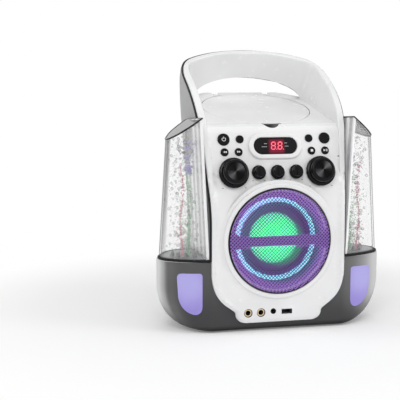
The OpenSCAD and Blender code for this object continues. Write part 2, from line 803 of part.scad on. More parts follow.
module display_bezel() {
    color("white") at_front() panel_at(0, display_z) difference() {
        union() {
            translate([0, 0, -5]) stadium(display_w + 4, display_h + 4, 6);
            stadium(display_w + 14, display_h + 12, 3.5);
        }
        translate([0, 0, -8]) stadium(display_w, display_h, 20);
    }
}
module display_window() {
    color("black") at_front() panel_at(0, display_z) translate([0, 0, 1])
        stadium(display_w, display_h, 1.6);
}
module display_module() {
    color("firebrick") at_front() panel_at(0, display_z)
        translate([-22, -8, board_w + board_t]) cube([44, 16, -board_w - board_t - 0.5]);
}

// ---- sockets ----
module mic_jacks() {
    color("gold") at_front() for (x = mic_x) translate([x, 0, socket_z]) rotate([-90, 0, 0])
        difference() {
            union() {
                translate([0, 0, -1]) cylinder(r = 5.3, h = 10);
                translate([-7, -6.5, 9]) cube([14, 13, 15]);
            }
            translate([0, 0, -2]) cylinder(r = mic_bore_r, h = 24);
        }
}
module aux_jack() {
    color("black") at_front() translate([aux_x, 0, socket_z + 1]) rotate([-90, 0, 0]) difference() {
        union() {
            cylinder(r = 3.5, h = 10);
            translate([-5.5, -5.5, 9]) cube([11, 13, 10]);
        }
        translate([0, 0, -1]) cylinder(r = aux_bore_r, h = 18);
    }
}
module usb_port() {
    color("silver") at_front() translate([usb_x, 0, socket_z]) {
        difference() {
            translate([-6.6, 0.2, -2.9]) cube([13.2, 18, 5.8]);
            translate([-6.1, -1, -2.4]) cube([12.2, 16, 4.8]);
        }
        for (x = [-5, 4]) translate([x, 10, -6.5]) cube([1, 4, 4]);
    }
}
module jack_board() {
    color("darkgreen") at_front() translate([-49, 9.5, 16.7]) cube([68, 16, 1.6]);
}

// ---- water tanks ----
tank_foot = base_h + 1.2;
tank_in_x = 88.6;
tank_in_lean = 2.9;
tank_roof = 31;
module tank_block(side = 0) {
    intersection() {
        translate([143, 0, tank_foot]) rotate([0, -tank_lean, 0]) translate([-143, 0, -20])
            linear_extrude(240) polygon(inset(tank_plan, side));
        translate([tank_in_x + side, 0, tank_foot]) rotate([0, tank_in_lean, 0])
            translate([0, -10, -30]) cube([100, 150, 300]);
        translate([133.4, 0, tank_top - side * 1.15]) rotate([0, tank_roof, 0])
            translate([-100, -10, -400]) cube([200, 150, 400]);
        translate([50, -10, tank_foot]) cube([150, 150, 300]);
    }
}
module tank() {
    difference() {
        tank_block(0);
        tank_block(tank_wall);
    }
}
module left_tank() { color("lightcyan", 0.4) at_front() mirror([1, 0, 0]) tank(); }
module right_tank() { color("lightcyan", 0.4) at_front() tank(); }
module tank_gaskets() {
    color("black") at_front() both_sides() translate([0, 0, base_h]) linear_extrude(1.2) difference() {
        polygon(inset(tank_plan, -0.6));
        polygon(inset(tank_plan, 3.4));
    }
}
nozzle_spots = [[101, 30], [112, 33], [121, 38], [126, 47]];
pump_x = 112;
pump_y = 54;
module nozzle_plates() {
    color("gray") at_front() both_sides() difference() {
        union() {
            translate([0, 0, base_h]) linear_extrude(3) polygon(inset(tank_plan, 3.6));
            for (p = nozzle_spots) translate([p[0], p[1], base_h + 2]) cylinder(r1 = 3.5, r2 = 1.8, h = 6);
        }
        for (p = nozzle_spots) translate([p[0], p[1], base_h - 1]) cylinder(r = 0.9, h = 12);
        translate([pump_x, pump_y, base_h - 1]) cylinder(r = 4, h = 6);
    }
}
module pump_housings() {
    color("black") at_front() both_sides() translate([pump_x, pump_y, 0]) difference() {
        union() {
            translate([0, 0, base_h - 26]) cylinder(r = 16, h = 26);
            translate([0, 0, base_h - 42]) cylinder(r = 11, h = 17);
        }
        translate([0, 0, base_h - 22]) cylinder(r = 13, h = 19);
        translate([0, 0, base_h - 5]) cylinder(r = 4, h = 10);
        translate([0, 0, base_h - 36]) cylinder(r = 1.05, h = 20);
    }
}
module impeller() {
    translate([pump_x, pump_y, 0]) {
        translate([0, 0, base_h - 20]) cylinder(r = 11, h = 2);
        translate([0, 0, base_h - 35]) cylinder(r = 1, h = 16);
        translate([0, 0, base_h - 20]) cylinder(r = 3, h = 12);
        for (a = [0:60:300]) rotate(a) translate([2, -0.8, base_h - 19]) cube([8.5, 1.6, 9]);
    }
}
module left_impeller() { color("ivory") at_front() mirror([1, 0, 0]) impeller(); }
module right_impeller() { color("ivory") at_front() impeller(); }

// Boards with coloured lamps: one behind each side window and one under each row of nozzles.
module lamp_boards() {
    color("darkgreen") at_front() both_sides() {
        translate([98, 26, 10]) cube([20, 1.6, 60]);
        for (z = [38, 50, 62]) translate([110, 26.1, z]) rotate([90, 0, 0]) cylinder(r = 2.5, h = 5);
    }
}

// ---- electronics ----
module main_board() {
    color("darkgreen") at_front() {
        translate([-80, 60, 10]) cube([110, 70, 1.6]);
        for (x = [-76, 24], y = [64, 124]) translate([x, y, 5]) cylinder(r = 3, h = 5);
    }
}
module heat_sink() {
    color("silver") at_front() {
        translate([-70, 66, 11.6]) cube([3, 50, 32]);
        for (i = [0:6]) translate([-67.1, 66 + i * 7.8, 11.6]) cube([14, 2.2, 32]);
    }
}
module transformer() {
    color("peru") at_front() {
        difference() {
            translate([34, 118, 5]) cube([46, 38, 40]);
            for (y = [110, 146]) translate([42, y, 0]) cube([30, 18, 60]);
        }
        for (y = [118, 146]) translate([43, y, 10]) cube([28, 10, 30]);
    }
}
module mains_inlet() {
    color("black") at_front() translate([inlet_x, back_y, inlet_z]) difference() {
        union() {
            translate([-inlet_w / 2 + 0.2, -22, -inlet_h / 2 + 0.2])
                cube([inlet_w - 0.4, 21.5, inlet_h - 0.4]);
            translate([-inlet_w / 2 - 3, -wall - 4.5, -inlet_h / 2 - 3]) cube([inlet_w + 6, 3, inlet_h + 6]);
        }
        translate([-7.5, -14, -3.8]) cube([15, 20, 7.6]);
    }
}

front_shell();
rear_shell();
base_shell();
edge_trim();
feet();
case_screws();
deck_well();
mech_chassis();
guide_rods();
spindle_motor();
sled_motor();
speaker_grille();
speaker_basket();
speaker_magnet();
speaker_surround();
lamp_bar();
light_ring();
control_board();
potentiometers();
display_bezel();
display_window();
display_module();
mic_jacks();
aux_jack();
usb_port();
jack_board();
left_tank();
right_tank();
tank_gaskets();
nozzle_plates();
pump_housings();
lamp_boards();
left_window();
right_window();
main_board();
heat_sink();
transformer();
mains_inlet();
disc_lid();
lid_clamp();
turntable();
laser_sled();
sled_gear();
motor_pinion();
speaker_cone();
left_impeller();
right_impeller();
power_button();
source_button();
light_button();
repeat_button();
previous_button();
next_button();
stop_button();
play_button();
volume_knob();
microphone_knob();
echo_knob();
balance_knob();
treble_knob();
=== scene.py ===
# %% [markdown]
# # A table-top karaoke machine
# The machine is a white and grey column with a hooped handle, a sloping disc deck under a round lid,
# a lit loudspeaker and two clear water tanks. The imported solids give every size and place. This
# script gives each one its finish, and builds finer outer surfaces around the solids.

import math

import bmesh
import bpy
import numpy as np
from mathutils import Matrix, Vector
from mathutils.geometry import delaunay_2d_cdt


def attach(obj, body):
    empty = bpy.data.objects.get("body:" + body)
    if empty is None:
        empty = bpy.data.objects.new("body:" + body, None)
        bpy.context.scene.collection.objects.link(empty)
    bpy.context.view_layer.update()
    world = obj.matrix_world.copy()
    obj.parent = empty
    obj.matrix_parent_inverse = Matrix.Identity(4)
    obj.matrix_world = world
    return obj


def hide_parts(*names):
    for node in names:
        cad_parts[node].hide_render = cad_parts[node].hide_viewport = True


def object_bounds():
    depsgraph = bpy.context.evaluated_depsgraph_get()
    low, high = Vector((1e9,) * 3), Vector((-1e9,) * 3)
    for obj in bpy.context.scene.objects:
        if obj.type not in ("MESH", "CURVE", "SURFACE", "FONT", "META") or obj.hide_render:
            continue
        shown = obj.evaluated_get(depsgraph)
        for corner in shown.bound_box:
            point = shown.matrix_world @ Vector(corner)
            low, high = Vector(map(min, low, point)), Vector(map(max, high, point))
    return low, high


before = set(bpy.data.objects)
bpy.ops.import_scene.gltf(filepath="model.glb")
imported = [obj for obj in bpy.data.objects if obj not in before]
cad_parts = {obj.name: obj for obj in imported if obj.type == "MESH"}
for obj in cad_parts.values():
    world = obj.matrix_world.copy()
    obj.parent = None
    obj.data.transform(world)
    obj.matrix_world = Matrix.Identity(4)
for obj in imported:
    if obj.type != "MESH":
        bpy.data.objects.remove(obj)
cad_low, cad_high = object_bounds()
print("solids' box, mm:", [round((b - a) * 1000, 1) for a, b in zip(cad_low, cad_high)])

# %% [markdown]
# ## Millimetres, measured from the fascia
# Every length below is in millimetres and Y starts at the front face of the fascia, because that is
# how one would measure the real machine on a bench. The grille is the foremost thing and stands a
# few millimetres before the fascia, which gives the one shift between the two frames.

# %% From bench millimetres to the frame's metres
MM = 0.001
GRILLE_FRONT = 6.0
FASCIA_Y = cad_low.y / MM + GRILLE_FRONT
SPEAKER_Z = 114.0
GRILLE_R = 66.0
PANEL_LEAN = 16.4
PANEL_Y, PANEL_Z = 9.0, 186.0
DECK_SLOPE = 13.6
DECK_Y, DECK_Z = 108.0, 274.1
TOP_Z = cad_high.z / MM


def to_frame(points):
    """Bench millimetres as metres in the frame: Y moves by FASCIA_Y, then all is scaled by MM."""
    return (np.asarray(points, float) + (0, FASCIA_Y, 0)) * MM


class Seat:
    """A tilted flat place: a point is origin + a*right + b*up + w*out, with up tilted about X."""

    def __init__(self, origin, tilt):
        t = math.radians(tilt)
        self.origin = np.array(origin, float)
        self.up = np.array([0, math.cos(t), math.sin(t)])
        self.out = np.array([0, -math.sin(t), math.cos(t)])

    def at(self, a, b, w):
        """Points for arrays a, b and w that broadcast together."""
        a, b, w = np.broadcast_arrays(*(np.asarray(k, float) for k in (a, b, w)))
        right = np.array([1.0, 0, 0])
        return self.origin + a[..., None] * right + b[..., None] * self.up + w[..., None] * self.out


def panel_seat(x, z):
    """The seat on the leaning control panel at width x and height z."""
    lean = math.tan(math.radians(PANEL_LEAN))
    return Seat((x, PANEL_Y + (z - PANEL_Z) * lean, z), 90 - PANEL_LEAN)


deck_seat = Seat((0, DECK_Y, DECK_Z), DECK_SLOPE)
speaker_seat = Seat((0, 0, SPEAKER_Z), 90)

# %% [markdown]
# ## The camera and a plain studio
# The camera stands where the photograph was taken from: a little to the machine's left and above it,
# with a long lens. The studio is a pale floor, a white surround for camera and mirror rays, and four
# soft lamps. The floor turns plain white away from the object, so only the soft shadow is left.

# %% Camera
LENS_MM, SENSOR_MM = 93.04, 36.0
EYE = Vector((-0.3943, -1.3048, 0.3250))
YAW, PITCH = math.radians(13.64), math.radians(7.205)

camera_data = bpy.data.cameras.new("camera")
camera_data.lens, camera_data.sensor_width = LENS_MM, SENSOR_MM
camera = bpy.data.objects.new("camera", camera_data)
bpy.context.scene.collection.objects.link(camera)
look = Vector((math.sin(YAW) * math.cos(PITCH), math.cos(YAW) * math.cos(PITCH), -math.sin(PITCH)))
camera.location = EYE
camera.rotation_euler = look.to_track_quat("-Z", "Y").to_euler()
bpy.context.scene.camera = camera
bpy.context.scene.view_settings.view_transform = "Standard"

# %% [markdown]
# ## Finishes as expressions
# A finish is a node tree, and its maths reads best as ordinary expressions. The class below wraps one
# socket, so that a sum or product of two sockets adds the Math node for it. One method makes any
# other node from its type, its settings and its sockets' values.


# %% A socket that can be added and multiplied
class Flow:
    """One output socket. + - * and ** on it add Math nodes; make() adds any other node."""

    def __init__(self, tree, socket):
        self.tree, self.socket = tree, socket

    def make(self, kind, settings=None, sockets=None, output=0):
        """A node of that kind: settings are set first, then each socket's value or link."""
        node = self.tree.nodes.new(kind)
        for key, value in (settings or {}).items():
            if key == "stops":
                ramp = node.color_ramp
                for _ in range(len(value) - len(ramp.elements)):
                    ramp.elements.new(1.0)
                for element, (place, colour) in zip(ramp.elements, value):
                    element.position = place
                    element.color = (*colour, 1)
            else:
                setattr(node, key, value)
        for key, value in (sockets or {}).items():
            if isinstance(value, Flow):
                self.tree.links.new(value.socket, node.inputs[key])
            else:
                node.inputs[key].default_value = value
        return Flow(self.tree, node.outputs[output])

    def math(self, operation, first, second=0.0, third=0.0):
        return self.make("ShaderNodeMath", {"operation": operation}, {0: first, 1: second, 2: third})

    def __add__(self, other):
        return self.math("ADD", self, other)

    def __sub__(self, other):
        return self.math("SUBTRACT", self, other)

    def __rsub__(self, other):
        return self.math("SUBTRACT", other, self)

    def __mul__(self, other):
        return self.math("MULTIPLY", self, other)

    def __pow__(self, other):
        return self.math("POWER", self, other)

    __radd__ = __add__
    __rmul__ = __mul__

    def between(self, low, high):
        """0 below low, 1 above high and a smooth step between them."""
        return self.make(
            "ShaderNodeMapRange", {"interpolation_type": "SMOOTHSTEP"}, {0: self, 1: low, 2: high}
        )

    def paint(self, dark, light):
        """A colour that goes from dark at 0 to light at 1."""
        sockets = {"Factor": self, 6: as_colour(dark), 7: as_colour(light)}
        return self.make("ShaderNodeMix", {"data_type": "RGBA"}, sockets, output=2)


def as_colour(value):
    """A colour socket's value: a link as it is, and a triple with full alpha."""
    return value if isinstance(value, Flow) else (*value, 1)


class Finish:
    """A material with one Principled surface. place is the Object coordinate, in metres."""

    def __init__(self, name, colour, roughness, **plain):
        self.material = bpy.data.materials.new(name)
        self.material.use_nodes = True
        self.tree = self.material.node_tree
        self.surface = self.tree.nodes["Principled BSDF"]
        self.start = Flow(self.tree, None)
        self.place = self.start.make("ShaderNodeTexCoord", output=3)
        self.set("Base Color", as_colour(colour))
        self.set("Roughness", roughness)
        for key, value in plain.items():
            self.set(key.replace("_", " "), value)

    def set(self, socket, value):
        """A link or a value on one of the surface's sockets."""
        if isinstance(value, Flow):
            self.tree.links.new(value.socket, self.surface.inputs[socket])
        else:
            self.surface.inputs[socket].default_value = value

    def noise(self, scale, detail=3.0, place=None):
        """Smooth noise around 0.5, with scale in cells a metre."""
        sockets = {"Vector": place or self.place, "Scale": scale, "Detail": detail}
        return self.start.make("ShaderNodeTexNoise", None, sockets)

    def parts(self, vector=None):
        """The X, Y and Z of a vector, by default of the place."""
        node = self.start.make("ShaderNodeSeparateXYZ", None, {0: vector or self.place})
        return [Flow(self.tree, node.socket.node.outputs[k]) for k in range(3)]

    def bump(self, height, depth, strength=1.0):
        """Height, from 0 to 1, raises the surface by depth metres."""
        sockets = {"Height": height, "Distance": depth, "Strength": strength}
        self.set("Normal", self.start.make("ShaderNodeBump", None, sockets))

    def glow(self, colour, strength):
        self.set("Emission Color", as_colour(colour))
        self.set("Emission Strength", strength)


# %% [markdown]
# The white surround must not light the object more than the lamps do, so it is at full strength only
# for rays that the camera, a mirror or a clear wall sends out, and dimmer for light that scatters.

# %% World and floor
SCATTER_LIGHT = 0.39
FLOOR_FADE = (0.26, 0.52)
FLOOR_LIFT = 0.16

world = bpy.data.worlds.new("surround")
bpy.context.scene.world = world
world.use_nodes = True
sky = Flow(world.node_tree, None)


def seen_directly(flow):
    """1 for camera, glossy and transmission rays, and 0 for light that scatters."""
    path = flow.make("ShaderNodeLightPath").socket.node
    camera_ray, glossy_ray, clear_ray = (
        Flow(flow.tree, path.outputs[k])
        for k in ("Is Camera Ray", "Is Glossy Ray", "Is Transmission Ray")
    )
    return flow.math("MINIMUM", camera_ray + glossy_ray + clear_ray, 1.0)


background = world.node_tree.nodes["Background"]
background.inputs["Color"].default_value = (1, 1, 1, 1)
sky_strength = seen_directly(sky) * (1 - SCATTER_LIGHT) + SCATTER_LIGHT
world.node_tree.links.new(sky_strength.socket, background.inputs["Strength"])


def floor_material():
    """White paint near the object, plain white light for the camera further out."""
    finish = Finish("studio_floor", (0.9, 0.9, 0.9), 0.9, Specular_IOR_Level=0.1)
    tree, start = finish.tree, finish.start
    far = start.make("ShaderNodeVectorMath", {"operation": "LENGTH"}, {0: finish.place}, output=1)
    share = far.between(*FLOOR_FADE) * seen_directly(start)
    white = start.make("ShaderNodeEmission", None, {"Color": (1, 1, 1, 1), "Strength": 1.0})
    mixed = start.make("ShaderNodeMixShader", None, {0: share, 2: white})
    finish.glow((1, 1, 1), FLOOR_LIFT)
    tree.links.new(finish.surface.outputs[0], mixed.socket.node.inputs[1])
    tree.links.new(mixed.socket, tree.nodes["Material Output"].inputs["Surface"])
    return finish.material


bpy.ops.mesh.primitive_plane_add(size=8)
floor = bpy.context.object
floor.name = "studio_floor"
floor.data.materials.append(floor_material())


def soft_lamp(name, place, aim, width, height, watts):
    """An area lamp at place that faces aim."""
    data = bpy.data.lights.new(name, "AREA")
    data.shape, data.size, data.size_y, data.energy = "RECTANGLE", width, height, watts
    lamp = bpy.data.objects.new(name, data)
    bpy.context.scene.collection.objects.link(lamp)
    lamp.location = place
    lamp.rotation_euler = (Vector(aim) - Vector(place)).to_track_quat("-Z", "Y").to_euler()
    return lamp


soft_lamp("key_lamp", (-0.6, -1.5, 1.4), (0, 0, 0.18), 0.8, 0.8, 11.5)
soft_lamp("top_lamp", (0.1, -0.1, 1.6), (0, 0, 0.2), 1.2, 1.2, 4.5)
soft_lamp("side_lamp", (-1.5, 0.35, 0.5), (0, 0, 0.18), 0.5, 1.2, 6.5)
soft_lamp("fill_lamp", (1.4, -1.0, 0.9), (0, 0, 0.2), 0.8, 0.8, 7)
print("studio: camera, floor and four lamps")

# %% [markdown]
# ## Meshes from arrays
# A surface is a grid of points worked out all at once.


# %% Grids, joins and finished pieces
def bend(a, b, c, n=16):
    """A quadratic curve from a to c that leaves and arrives towards b."""
    t = np.linspace(0, 1, n)[:, None]
    return (1 - t) ** 2 * np.array(a, float) + 2 * t * (1 - t) * np.array(b) + t**2 * np.array(c)


def even(path, step):
    """The same line with points about step apart, both ends kept."""
    path = np.asarray(path, float)
    along = np.concatenate([[0], np.cumsum(np.linalg.norm(np.diff(path, axis=0), axis=1))])
    places = np.linspace(0, along[-1], max(2, int(round(along[-1] / step)) + 1))
    return np.stack([np.interp(places, along, path[:, k]) for k in range(path.shape[1])], 1)


def ring(radius, n):
    """n points on a circle, anticlockwise."""
    t = np.arange(n) * 2 * np.pi / n
    return np.stack([radius * np.cos(t), radius * np.sin(t)], 1)


def grid(points, wrap=False):
    """Vertices and quads of points (rows, columns, 3); wrap joins the last column to the first."""
    rows, columns = points.shape[:2]
    last = columns if wrap else columns - 1
    i, j = np.meshgrid(np.arange(rows - 1), np.arange(last), indexing="ij")
    a, b = i * columns + j, i * columns + (j + 1) % columns
    quads = np.stack([a, b, b + columns, a + columns], -1).reshape(-1, 4)
    return points.reshape(-1, 3), quads.tolist()


def cap(loop):
    """One flat face over a closed loop of points."""
    return loop, [list(range(len(loop)))]


def join(*shapes):
    """Several (vertices, faces) as one."""
    starts = np.cumsum([0] + [len(v) for v, _ in shapes])
    faces = [[int(k + s) for k in f] for s, (_, fs) in zip(starts, shapes) for f in fs]
    return np.concatenate([v for v, _ in shapes]), faces


def mirrored(shape):
    """The shape and its mirror image in the plane x = 0."""
    vertices, faces = shape
    return join(shape, (vertices * (-1, 1, 1), [f[::-1] for f in faces]))


def piece(name, shape, finish, body="cabinet", stands_for=(), inner=None, crease=40, merge=0.02):
    """A mesh object of the object, in place. inner is a point that an open surface faces away from."""
    vertices, faces = shape
    mesh = bpy.data.meshes.new(name)
    mesh.from_pydata(to_frame(vertices).tolist(), [], faces)
    work = bmesh.new()
    work.from_mesh(mesh)
    bmesh.ops.remove_doubles(work, verts=work.verts, dist=merge * MM)
    bmesh.ops.dissolve_degenerate(work, edges=work.edges, dist=1e-7)
    bmesh.ops.recalc_face_normals(work, faces=work.faces)
    if inner is not None:
        centre = Vector(to_frame(inner))
        away = sum((f.calc_center_median() - centre).dot(f.normal) * f.calc_area() for f in work.faces)
        if away < 0:
            bmesh.ops.reverse_faces(work, faces=work.faces)
    work.to_mesh(mesh)
    work.free()
    mesh.shade_smooth()
    mesh.set_sharp_from_angle(angle=math.radians(crease))
    thing = bpy.data.objects.new(name, mesh)
    bpy.context.scene.collection.objects.link(thing)
    mesh.materials.append(finish.material)
    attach(thing, body)
    if stands_for:
        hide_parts(*stands_for)
    return thing


def thicken(thing, wall):
    """Gives an open surface a wall that grows inwards."""
    modifier = thing.modifiers.new("wall", "SOLIDIFY")
    modifier.thickness, modifier.offset, modifier.use_even_offset = wall * MM, -1, True
    return thing


def round_edges(thing, width, segments=2, angle=40):
    """Rounds the edges sharper than angle."""
    modifier = thing.modifiers.new("rounding", "BEVEL")
    modifier.width, modifier.segments = width * MM, segments
    modifier.limit_method, modifier.angle_limit = "ANGLE", math.radians(angle)
    modifier.harden_normals = True
    return thing


def turned(profile, seat, segments=72, centre=(0, 0)):
    """A profile of (radius, height) turned about the seat's out direction."""
    profile = np.asarray(profile, float)
    t = np.arange(segments) * 2 * np.pi / segments
    radius, height = profile[:, 0:1], profile[:, 1:2]
    return grid(
        seat.at(centre[0] + radius * np.cos(t), centre[1] + radius * np.sin(t), height + 0 * t), wrap=True
    )


def plates(polygons, seat, low, high):
    """Flat convex plates between heights low and high, from outlines drawn on a seat."""
    shapes = []
    for outline in polygons:
        outline = np.asarray(outline, float)
        bottom = seat.at(outline[:, 0], outline[:, 1], low)
        top = seat.at(outline[:, 0], outline[:, 1], high)
        shapes += [grid(np.stack([bottom, top]), wrap=True), cap(top), cap(bottom[::-1])]
    return join(*shapes)


# %% [markdown]
# ## Sheets with holes
# The panel is one moulded sheet with a lid, a grille and sixteen smaller openings. A grid can't follow
# so many circles, so the flat sheet is cut into triangles around them, and then a formula carries it
# onto the curved front. Points in the middle keep the triangles small where the sheet bends.


# %% Triangles around holes
def inside(points, loop):
    """True where an odd number of the loop's edges lie to a point's right."""
    a, b = loop, np.roll(loop, -1, 0)
    x, y = points[:, 0:1], points[:, 1:2]
    crosses = (a[:, 1] > y) != (b[:, 1] > y)
    rise = np.where(np.abs(b[:, 1] - a[:, 1]) < 1e-12, 1e-12, b[:, 1] - a[:, 1])
    return (crosses & (x < a[:, 0] + (y - a[:, 1]) * (b[:, 0] - a[:, 0]) / rise)).sum(1) % 2 == 1


def distance_to(points, line, closed=True):
    """The least distance from each point to a line's segments."""
    a = line if closed else line[:-1]
    b = np.roll(line, -1, 0) if closed else line[1:]
    run = b - a
    t = ((points[:, None] - a) * run).sum(-1) / np.maximum((run**2).sum(-1), 1e-12)
    foot = a + np.clip(t, 0, 1)[..., None] * run
    return np.linalg.norm(points[:, None] - foot, axis=-1).min(1)


def holed_sheet(outline, holes, step, guides=()):
    """Flat points and triangles inside an outline and outside its holes. Guides are extra lines."""
    loops = [outline, *holes, *guides]
    x, y = np.meshgrid(
        np.arange(outline[:, 0].min(), outline[:, 0].max(), step),
        np.arange(outline[:, 1].min(), outline[:, 1].max(), step),
    )
    x = x + (np.arange(len(x)) % 2)[:, None] * step / 2
    middle = np.stack([x.ravel(), y.ravel()], 1)
    keep = inside(middle, outline)
    for loop in loops:
        keep &= distance_to(middle, loop) > step * 0.55
    for hole in holes:
        keep &= ~inside(middle, hole)
    edges, start = [], 0
    for loop in loops:
        k = np.arange(len(loop))
        edges += np.stack([k + start, (k + 1) % len(loop) + start], 1).tolist()
        start += len(loop)
    flat = np.concatenate([*loops, middle[keep]])
    found = delaunay_2d_cdt([Vector(p) for p in flat.tolist()], edges, [], 0, 1e-5)
    flat, triangles = np.array([p[:] for p in found[0]]), np.array(found[2])
    centre = flat[triangles].mean(1)
    good = inside(centre, outline)
    for hole in holes:
        good &= ~inside(centre, hole)
    return flat, triangles[good].tolist()


# %% [markdown]
# ## The machine's outlines
# Two half outlines make the whole column: its front seen straight on, and the line of its front face
# seen from the side. The panel and the deck are one skin that is bent only one way, like paper over
# a step, so a circle on the flat sheet stays a circle on the machine.

# %% Outlines of the column
FASCIA_X = 86.0
HANDLE_X = FASCIA_X + 11
TRAY_Z = 12.0
STEP = 2.6

foot_half = np.concatenate(
    [
        [[0, TRAY_Z]],
        bend((42, TRAY_Z), (53.8, TRAY_Z + 0.4), (55.5, 22)),
        bend((55.8, 25.4), (58.2, 27.4), (63, 31)),
        bend((67.3, 34.0), (84.5, 46.5), (FASCIA_X, 73)),
    ]
)
side_half = np.concatenate(
    [
        bend((FASCIA_X, 135), (FASCIA_X, 156), (FASCIA_X + 2, 180)),
        bend((FASCIA_X + 8.5, 258), (HANDLE_X - 0.2, 287), (HANDLE_X, 311)),
        bend((HANDLE_X, 312), (HANDLE_X + 0.5, 333), (HANDLE_X - 19, TOP_Z - 10.5)),
        bend((HANDLE_X - 20, TOP_Z - 10.2), (45, TOP_Z - 0.2), (0, TOP_Z)),
    ]
)
rim_half = even(np.concatenate([foot_half, side_half]), STEP)
rim_half[0, 0] = 0.0
rim_half[-1, 0] = 0.0

lean = np.array([math.sin(math.radians(PANEL_LEAN)), math.cos(math.radians(PANEL_LEAN))])
slope = np.array([math.cos(math.radians(DECK_SLOPE)), math.sin(math.radians(DECK_SLOPE))])
bend_z = PANEL_Z - PANEL_Y / math.tan(math.radians(PANEL_LEAN))
panel_top = np.array([26.95, 247.0])
rim_line = np.concatenate(
    [
        [[0, -20]],
        bend((0, bend_z - 22), (0, bend_z), np.array([0, bend_z]) + 22 * lean),
        bend(panel_top, (37.4, 282.4), (90, 309.8), 24),
        [[157.5, 345.1], [165.5, TOP_Z - 0.6], [166.6, TOP_Z]],
    ]
)


def rim_y(z):
    """Y of the front surface of the rim at height z."""
    return np.interp(z, rim_line[:, 1], rim_line[:, 0])


# %% The skin's own line, from the tray over the panel to the back of the deck
corner_run = (DECK_Z - DECK_Y * slope[1] / slope[0] - (PANEL_Z - PANEL_Y * lean[1] / lean[0])) / (
    lean[1] / lean[0] - slope[1] / slope[0]
)
corner = np.array([corner_run, PANEL_Z + (corner_run - PANEL_Y) * lean[1] / lean[0]])
SILL_Z = 281.0
DECK_TOP_Z = 293.7
deck_end = np.array([DECK_Y, DECK_Z]) + 72 * slope
skin_line = even(
    np.concatenate(
        [
            [[0, TRAY_Z - 2]],
            bend((0, bend_z - 22), (0, bend_z), np.array([0, bend_z]) + 22 * lean),
            bend(corner - 15 * lean, corner, corner + 18 * slope, 24),
            bend(deck_end, deck_end + 8 * slope, (200, DECK_TOP_Z)),
        ]
    ),
    1.0,
)
skin_s = np.concatenate([[0], np.cumsum(np.linalg.norm(np.diff(skin_line, axis=0), axis=1))])
skin_s += TRAY_Z - 2
DECK_PROUD = 0.3


def s_of_z(z):
    """How far up the skin's line a height is."""
    return np.interp(z, skin_line[:, 1], skin_s)


FAR_Y, FAR_BOW, FAR_HALF_X, FAR_POWER, FAR_SOFT = 183, 20, 66, 2.6, 3


def deck_fall(x, y):
    """How far the deck's far edge rounds downwards, past a curve across the deck.

    The curve is FAR_Y less FAR_BOW times the share of the half width to FAR_POWER. The fall is a
    quarter of the distance past it plus the root of that distance and FAR_SOFT, each squared.
    """
    past = y - (FAR_Y - FAR_BOW * (np.abs(x) / FAR_HALF_X) ** FAR_POWER)
    return 0.25 * (past + np.sqrt(past**2 + FAR_SOFT**2)) * (y > 120)


def on_skin(x, s, height):
    """Points on the skin at width x and length s, raised by height along the skin's normal."""
    y, z = (np.interp(s, skin_s, skin_line[:, k]) for k in (0, 1))
    run = np.gradient(skin_line, skin_s, axis=0)
    ty, tz = (np.interp(s, skin_s, run[:, k]) for k in (0, 1))
    size = np.hypot(ty, tz)
    height = height + DECK_PROUD * np.clip((s - s_of_z(corner[1])) / 20, 0, 1)
    place_y = y - height * tz / size
    return np.stack([x, place_y, z + height * ty / size - deck_fall(x, place_y)], -1)


print("front outline:", len(rim_half), "points a side; skin", round(float(skin_s[-1]), 1), "mm long")

# %% [markdown]
# ## The rim, the cheeks and the handle
# A lip runs round the whole front. On the panel it is a low step, beside the deck its inner edge
# falls as a cheek, and at the top the same strip becomes the inner face of the handle. So it is one
# sweep: at each point of the rim, a section goes across the lip and then down until it meets the
# panel, the deck or the arch of the hand hole.

# %% Sections across the rim
LIP_W, LIP_H, LIP_ROUND, LIP_FALL = 8.0, 2.2, 1.5, 0.9
CUT_Z = 196.0
HOLE_X, HOLE_Z, HOLE_RISE = 76.0, 284.0, 30.0
REAR_HOLE_X, REAR_HOLE_Z, REAR_HOLE_RISE = 84.0, 283.0, 31.3


def lip_height(from_edge):
    """A quarter round up at the outer edge: LIP_H * sqrt(1 - (1 - d/LIP_ROUND)^2)."""
    t = np.clip(from_edge / LIP_ROUND, 0, 1)
    return LIP_H * np.sqrt(np.clip(1 - (1 - t) ** 2, 0, 1))


def step_height(from_step):
    """A cosine step from 0 at the recess to 1 at LIP_FALL outside it."""
    return 0.5 - 0.5 * np.cos(np.pi * np.clip(from_step / LIP_FALL, 0, 1))


cut = int(np.argmax(rim_half[:, 1] > CUT_Z))
upper = rim_half[cut:]
edge = np.stack([upper[:, 0], rim_y(upper[:, 1]), upper[:, 1]], 1)
tangent = np.gradient(edge, axis=0)
tangent[-1] = (-1, 0, 0)
flat_tangent = tangent[:, [0, 2]] / np.linalg.norm(tangent[:, [0, 2]], axis=1, keepdims=True)
inward = np.stack([-flat_tangent[:, 1], flat_tangent[:, 0]], 1)
rim_rise = (rim_y(upper[:, 1] + 0.5) - rim_y(upper[:, 1] - 1.5)) / 2
across = np.stack([inward[:, 0], rim_rise * inward[:, 1], inward[:, 1]], 1)
level = np.clip((upper[:, 1] - CUT_Z) / 12, 0, 1)[:, None]
across = (1 - level) * np.array([-1.0, 0, 0]) + level * across
across /= np.linalg.norm(across, axis=1, keepdims=True)
face = np.cross(across, tangent)
face /= np.linalg.norm(face, axis=1, keepdims=True)
face *= np.sign(-face[:, 1:2] + 0.3 * face[:, 2:3])

lip_d = np.array([0, 0.12, 0.45, 0.9, 1.5, 3.0, 5.0, LIP_W - LIP_FALL])
lip_points = (
    edge[:, None]
    + lip_d[None, :, None] * across[:, None]
    + lip_height(lip_d)[None, :, None] * face[:, None]
)
inner_edge = lip_points[:, -1]


